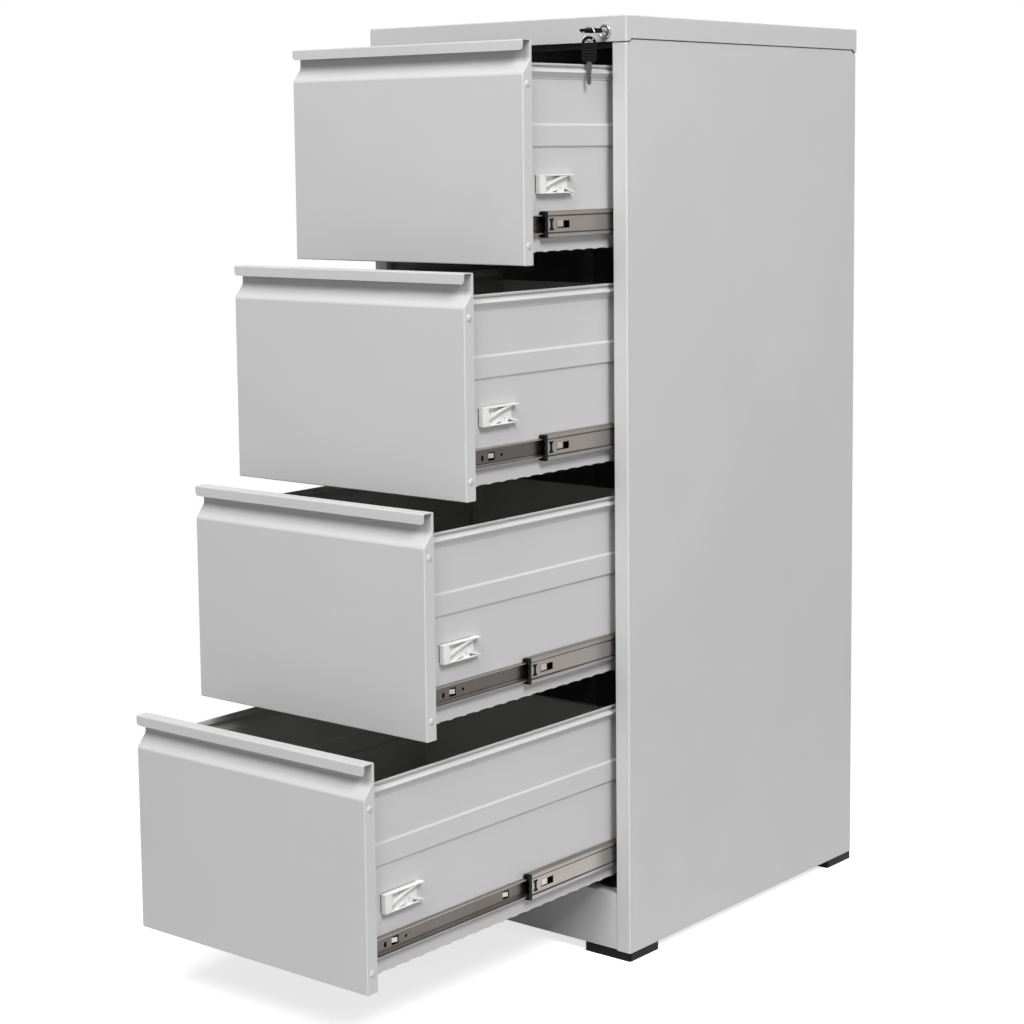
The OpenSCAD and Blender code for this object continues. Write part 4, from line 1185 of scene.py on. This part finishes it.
def hung(across, down, thick):
    """The spare hangs with its blade down, half turned about the vertical."""
    return (across * math.cos(SPARE_TURN) - thick * math.sin(SPARE_TURN),
            across * math.sin(SPARE_TURN) + thick * math.cos(SPARE_TURN), -down)


# The hanging key's blade is bright steel like the other's; here it is painted nearly black as painted shade.
for what, parts, finish, edge in (("spare_head", head_parts(), black_plastic, 0.5),
                                  ("spare_blade", blade_parts(), painted_shade_steel, 0.15)):
    piece = new_piece(what, prisms_mesh(what, parts, hung), (finish,), spare_at)
    soften(piece, edge, angle=40, steps=3)
    dress(piece, "hanging_keys", "black_plastic", "spare_key")
print("the spare key hangs down to z", round(spare_low.z, 3), "m")

# %% [markdown]
# ## Measured pieces that keep their shape
#
# Many pieces are right as they were measured: trays, rails, uprights, the plinth, the feet. Folding
# them again would change nothing that can be seen. They keep their mesh, and get a finish and a small
# bevel, because a perfectly sharp edge looks like a drawing.

# %% Finish the measured pieces


def keep(finish, *nodes, edge=0.3):
    """Gives measured pieces a finish and breaks their edges."""
    for node in nodes:
        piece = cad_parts[node]
        piece.data.materials.clear()
        piece.data.materials.append(finish)
        soften(piece, edge, angle=40)


keep(grey_coat, "back_panel", "plinth_panel", "floor_panel", "runner_uprights")
# Painted shade: the rail behind the lock is painted nearly black for the shadow it stands in.
keep(rail_shade_coat, "top_rail")
keep(black_plastic, "feet", edge=0.9)
keep(zinc, "cabinet_fixings", "lock_cam", "lock_bar", "runner_outer_members")
keep(white_nylon, "lock_bar_guides")
keep(bright, "key_ring")
# Painted shade: the inner fronts and trays take the darker inside coat.
for n in DRAWERS:
    keep(inside_shade_coat, f"drawer_{n}_inner_front", f"drawer_{n}_tray")
print("measured pieces finished")

# %% [markdown]
# ## Studio
#
# The cabinet stands in a white studio. Two large soft lamps do most of the work: one high in front
# and one high on the right. Two low ones lift the undersides a little, and a weak one hangs above.
# Together they bring the grey coat out about as it is written. One strong lamp would be simpler, but
# it would leave either the front or the side in the dark.

# %% Soft lamps
AIM = Vector((0, 0, 0.7))
LAMPS = (("lamp_high_front", (1.3, -4.4, 5.2), (2.6, 2.6), 278),
         ("lamp_high_right", (5.3, -2.1, 6.2), (2.6, 2.6), 470),
         ("lamp_above", (0.2, -0.9, 5.6), (2.6, 2.6), 5),
         ("lamp_low_front", (1.2, -5.0, 1.5), (3.0, 2.0), 11),
         ("lamp_low_right", (5.0, -1.2, 1.2), (3.0, 2.0), 13))


def soft_lamp(name, place, size, power):
    """A rectangular lamp that looks at the middle of the cabinet."""
    data = bpy.data.lights.new(name, "AREA")
    data.shape = "RECTANGLE"
    data.size, data.size_y = size
    data.energy = power
    lamp = bpy.data.objects.new(name, data)
    lamp.location = place
    lamp.rotation_mode = "QUATERNION"
    lamp.rotation_quaternion = (AIM - Vector(place)).to_track_quat("-Z", "Y")
    COLLECTION.objects.link(lamp)


for lamp in LAMPS:
    soft_lamp(*lamp)
print(len(LAMPS), "soft lamps")

# %% [markdown]
# ## A white background that does not light the cabinet
#
# The floor and the far background look white to the camera and in reflections. If they also gave off
# that much light, the undersides would lose their shadows. The light path tells which kind of ray
# asks, so each has two faces: a white one to be looked at, and a plain one for lighting.

# %% The world
WORLD_STRENGTH = 0.13
WHITE = (1, 1, 1, 1)


def white_where_seen(tree, plain, seen):
    """Mixes two shaders: seen for the camera, reflections and glass, plain for everything else."""
    path = tree.nodes.new("ShaderNodeLightPath")
    looked_at = path.outputs["Is Camera Ray"]
    for ray in ("Is Glossy Ray", "Is Transmission Ray"):
        either = tree.nodes.new("ShaderNodeMath")
        either.operation = "MAXIMUM"
        tree.links.new(looked_at, either.inputs[0])
        tree.links.new(path.outputs[ray], either.inputs[1])
        looked_at = either.outputs[0]
    mix = tree.nodes.new("ShaderNodeMixShader")
    tree.links.new(looked_at, mix.inputs["Fac"])
    tree.links.new(plain, mix.inputs[1])
    tree.links.new(seen, mix.inputs[2])
    return mix.outputs["Shader"]


def white_world():
    world = bpy.data.worlds.new("studio")
    world.use_nodes = True
    tree = world.node_tree
    plain = tree.nodes["Background"]
    plain.inputs["Color"].default_value = WHITE
    plain.inputs["Strength"].default_value = WORLD_STRENGTH
    seen = tree.nodes.new("ShaderNodeBackground")
    seen.inputs["Color"].default_value = WHITE
    seen.inputs["Strength"].default_value = 1
    shader = white_where_seen(tree, plain.outputs["Background"], seen.outputs["Background"])
    tree.links.new(shader, tree.nodes["World Output"].inputs["Surface"])
    bpy.context.scene.world = world


white_world()
bpy.context.scene.view_settings.view_transform = "Standard"
print("a white world that lights with a strength of", WORLD_STRENGTH)

# %% [markdown]
# ## The floor
#
# The floor is one large square. Close to the cabinet it is pale and glows a little, so that the
# cabinet's shadow shows softly on it. Further out it fades into pure white, and no edge or horizon is
# seen. For lighting it is a plain grey.

# %% The floor
FLOOR_HALF = 14.0
FLOOR_GREY, FLOOR_PALE, FLOOR_GLOW = 0.25, 0.8, 0.7
FADE_START, FADE_END = 0.75, 1.9


def shadow_catching_shader(tree):
    """A pale matt surface with a glow."""
    matt = tree.nodes.new("ShaderNodeBsdfDiffuse")
    matt.inputs["Color"].default_value = (FLOOR_PALE, FLOOR_PALE, FLOOR_PALE, 1)
    light = tree.nodes.new("ShaderNodeEmission")
    light.inputs["Strength"].default_value = FLOOR_GLOW
    both = tree.nodes.new("ShaderNodeAddShader")
    tree.links.new(matt.outputs[0], both.inputs[0])
    tree.links.new(light.outputs[0], both.inputs[1])
    return both.outputs[0]


def fade_from_middle(tree):
    """0 near the cabinet and 1 far from it."""
    place = tree.nodes.new("ShaderNodeTexCoord")
    distance = tree.nodes.new("ShaderNodeVectorMath")
    distance.operation = "LENGTH"
    tree.links.new(place.outputs["Object"], distance.inputs[0])
    fade = tree.nodes.new("ShaderNodeMapRange")
    fade.interpolation_type = "SMOOTHSTEP"
    fade.inputs["From Min"].default_value = FADE_START
    fade.inputs["From Max"].default_value = FADE_END
    tree.links.new(distance.outputs["Value"], fade.inputs["Value"])
    return fade.outputs["Result"]


def pale_floor_material():
    material = bpy.data.materials.new("pale_floor")
    material.use_nodes = True
    tree = material.node_tree
    plain = tree.nodes["Principled BSDF"]
    plain.inputs["Base Color"].default_value = (FLOOR_GREY, FLOOR_GREY, FLOOR_GREY, 1)
    plain.inputs["Roughness"].default_value = 0.9
    pure = tree.nodes.new("ShaderNodeEmission")
    seen = tree.nodes.new("ShaderNodeMixShader")
    tree.links.new(fade_from_middle(tree), seen.inputs["Fac"])
    tree.links.new(shadow_catching_shader(tree), seen.inputs[1])
    tree.links.new(pure.outputs[0], seen.inputs[2])
    shader = white_where_seen(tree, plain.outputs[0], seen.outputs[0])
    tree.links.new(shader, tree.nodes["Material Output"].inputs["Surface"])
    return material


w = FLOOR_HALF
floor_mesh = bpy.data.meshes.new("floor")
floor_mesh.from_pydata([(-w, -w, 0), (w, -w, 0), (w, w, 0), (-w, w, 0)], [], [(0, 1, 2, 3)])
floor = new_piece("floor", floor_mesh, (pale_floor_material(),))
print("a floor of", 2 * FLOOR_HALF, "m that is pure white beyond", FADE_END, "m")
